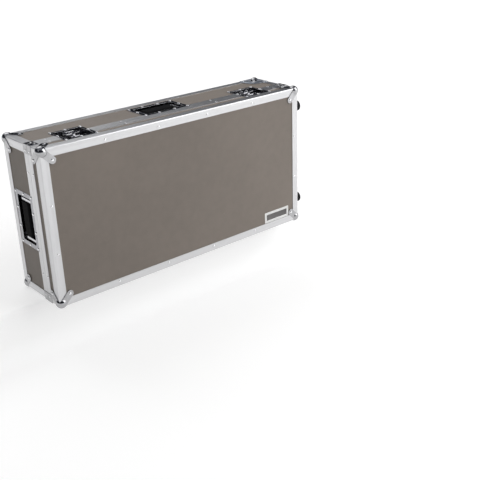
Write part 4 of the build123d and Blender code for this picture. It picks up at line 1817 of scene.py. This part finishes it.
@dataclass
class Studio:
    """Camera, lamps, surroundings and floor.

    Attributes:
        sky: Strength of the soft light from all round.
        floor_tone: Grey of the floor, linear.
        floor_rough: Its roughness.
        floor_shine: Its specular level.
        glow: Light that the floor near the case sends on its own to the camera and to metal.
        far_glow: What is added to that far from the case.
        glow_reach: Distances between which it is added, in metres.
        floor_half: Half of the floor's side, in metres.
        step_at: Place along the depth where the floor steps down for the open lid.
        step_depth: Height of the step, in metres.
        step_lip: Radius of the step's upper bend, in metres.
        step_cove: Radius of its lower bend, in metres.
        bend_steps: Number of flats in each bend.
        mirrored: What metal mirrors, from the horizon up: height from 0 to 1 and colour.
        lamps: The soft boxes.
    """

    sky: float = 0.38
    floor_tone: float = 0.62
    floor_rough: float = 0.9
    floor_shine: float = 0.1
    glow: float = 0.52
    far_glow: float = 0.34
    glow_reach: Point2 = (1.0, 7.0)
    floor_half: float = 14.0
    step_at: float = -0.026
    step_depth: float = 0.156
    step_lip: float = 0.012
    step_cove: float = 0.06
    bend_steps: int = 12
    mirrored: Sequence[tuple[float, Sequence[float]]] = (
        (0.05, WHITE),
        (0.13, (0.30, 0.31, 0.35, 1.0)),
        (0.2, (0.012, 0.014, 0.02, 1.0)),
        (0.62, (0.03, 0.033, 0.045, 1.0)),
        (1.0, (0.3, 0.31, 0.34, 1.0)),
    )
    lamps: Sequence[Lamp] = (
        Lamp("key_box", Vector((2.1, -1.8, 1.9)), Vector((0.45, 0.0, 0.3)), 3.0, 76.0),
        Lamp("back_box", Vector((0.1, 2.2, 3.2)), Vector((0.0, 0.0, 0.45)), 3.2, 48.0),
    )

    def build(self) -> None:
        """Builds the stage."""
        bpy.context.scene.view_settings.view_transform = "Standard"
        Viewpoint().build()
        for lamp in self.lamps:
            lamp.build()
        self.build_surroundings()
        self.build_floor()
        log.info("stage is set")

    def background(self, wiring: Wiring, colour: object, strength: float = 1.0) -> Socket:
        """Adds a Background of one colour or socket and gives its light."""
        inputs = {"Color": colour, "Strength": strength}
        return wiring.node("ShaderNodeBackground", inputs).outputs["Background"]

    def either(self, wiring: Wiring, factor: Socket, first: Socket, second: Socket) -> Socket:
        """Adds a Mix Shader and gives its light."""
        inputs = {"Fac": factor, 1: first, 2: second}
        return wiring.node("ShaderNodeMixShader", inputs).outputs["Shader"]

    def build_surroundings(self) -> None:
        """Surrounds the case with a pale sweep under a dim ceiling."""
        world = bpy.data.worlds.new("surroundings")
        bpy.context.scene.world = world
        wiring = Wiring.fresh(world)
        rays = wiring.node("ShaderNodeLightPath").outputs
        direction = wiring.node("ShaderNodeTexCoord").outputs["Generated"]
        height = wiring.node("ShaderNodeSeparateXYZ", {"Vector": direction}).outputs["Z"]
        ramp = wiring.node("ShaderNodeValToRGB", {"Fac": height})
        stops = ramp.color_ramp.elements
        lowest, *between, highest = self.mirrored
        stops[0].position, stops[0].color = lowest
        stops[1].position, stops[1].color = highest
        for place, shade in between:
            stops.new(place).color = shade
        soft = self.background(wiring, WHITE, self.sky)
        mirrored = self.background(wiring, ramp.outputs["Color"])
        lit = self.either(wiring, rays["Is Glossy Ray"], soft, mirrored)
        straight = wiring.math("MAXIMUM", rays["Is Camera Ray"], rays["Is Transmission Ray"])
        shown = self.either(wiring, straight, lit, self.background(wiring, WHITE))
        wiring.node("ShaderNodeOutputWorld", {"Surface": shown})

    def build_floor(self) -> None:
        """Builds the pale floor, which keeps the shadow of the case.

        It steps down in front of the hinges, so that the lid can swing open.
        """
        half, low = self.floor_half, -self.step_depth
        lip, cove = self.step_lip, self.step_cove
        profile = [(half, 0.0)]
        profile += arc((self.step_at + lip, -lip), lip, 90.0, 180.0, self.bend_steps)
        profile += arc((self.step_at - cove, low + cove), cove, 0.0, -90.0, self.bend_steps)
        profile.append((-half, low))
        maker = MeshMaker()
        left, right = (maker.points((x, y, z) for y, z in profile) for x in (-half, half))
        for i in range(len(profile) - 1):
            maker.mesh.faces.new((left[i], left[i + 1], right[i + 1], right[i]))
        floor = maker.object("studio_floor", [])
        floor.data.materials.append(self.floor_material())

    def floor_material(self) -> bpy.types.Material:
        """Makes the floor's matt grey, which glows where it is looked at.

        Returns:
            The material.
        """
        made = bpy.data.materials.new("pale_floor")
        wiring = Wiring.fresh(made)
        tone = (*[self.floor_tone] * 3, 1.0)
        inputs = {"Base Color": tone, "Roughness": self.floor_rough}
        inputs["Specular IOR Level"] = self.floor_shine
        shader = wiring.node("ShaderNodeBsdfPrincipled", inputs)
        rays = wiring.node("ShaderNodeLightPath").outputs
        seen = wiring.math("MAXIMUM", rays["Is Camera Ray"], rays["Is Glossy Ray"])
        seen = wiring.math("MAXIMUM", seen, rays["Is Transmission Ray"])
        off = wiring.node("ShaderNodeVectorMath", {0: wiring.place()}, operation="LENGTH")
        ends = (*self.glow_reach, self.glow, self.glow + self.far_glow)
        strength = wiring.math("MULTIPLY", seen, wiring.spread(off.outputs["Value"], *ends))
        glow = wiring.node("ShaderNodeEmission", {"Color": WHITE, "Strength": strength})
        inputs = {0: shader.outputs["BSDF"], 1: glow.outputs["Emission"]}
        both = wiring.node("ShaderNodeAddShader", inputs)
        wiring.node("ShaderNodeOutputMaterial", {"Surface": both.outputs["Shader"]})
        return made


def main() -> None:
    """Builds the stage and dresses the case."""
    logging.basicConfig(level=logging.INFO, format="%(name)s: %(message)s")
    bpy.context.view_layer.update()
    Studio().build()
    shell = Shell.from_cad()
    assemblies = (
        Panels(),
        *(kind(shell) for kind in (Rails, Corners, CornerPlates, Latches)),
        Handles(),
        *(kind(shell) for kind in (Hinges, Feet)),
        Badge(),
        Lining(),
    )
    for assembly in assemblies:
        assembly.dress()
    for assembly in assemblies:
        assembly.build()


if __name__ == "__main__":
    main()
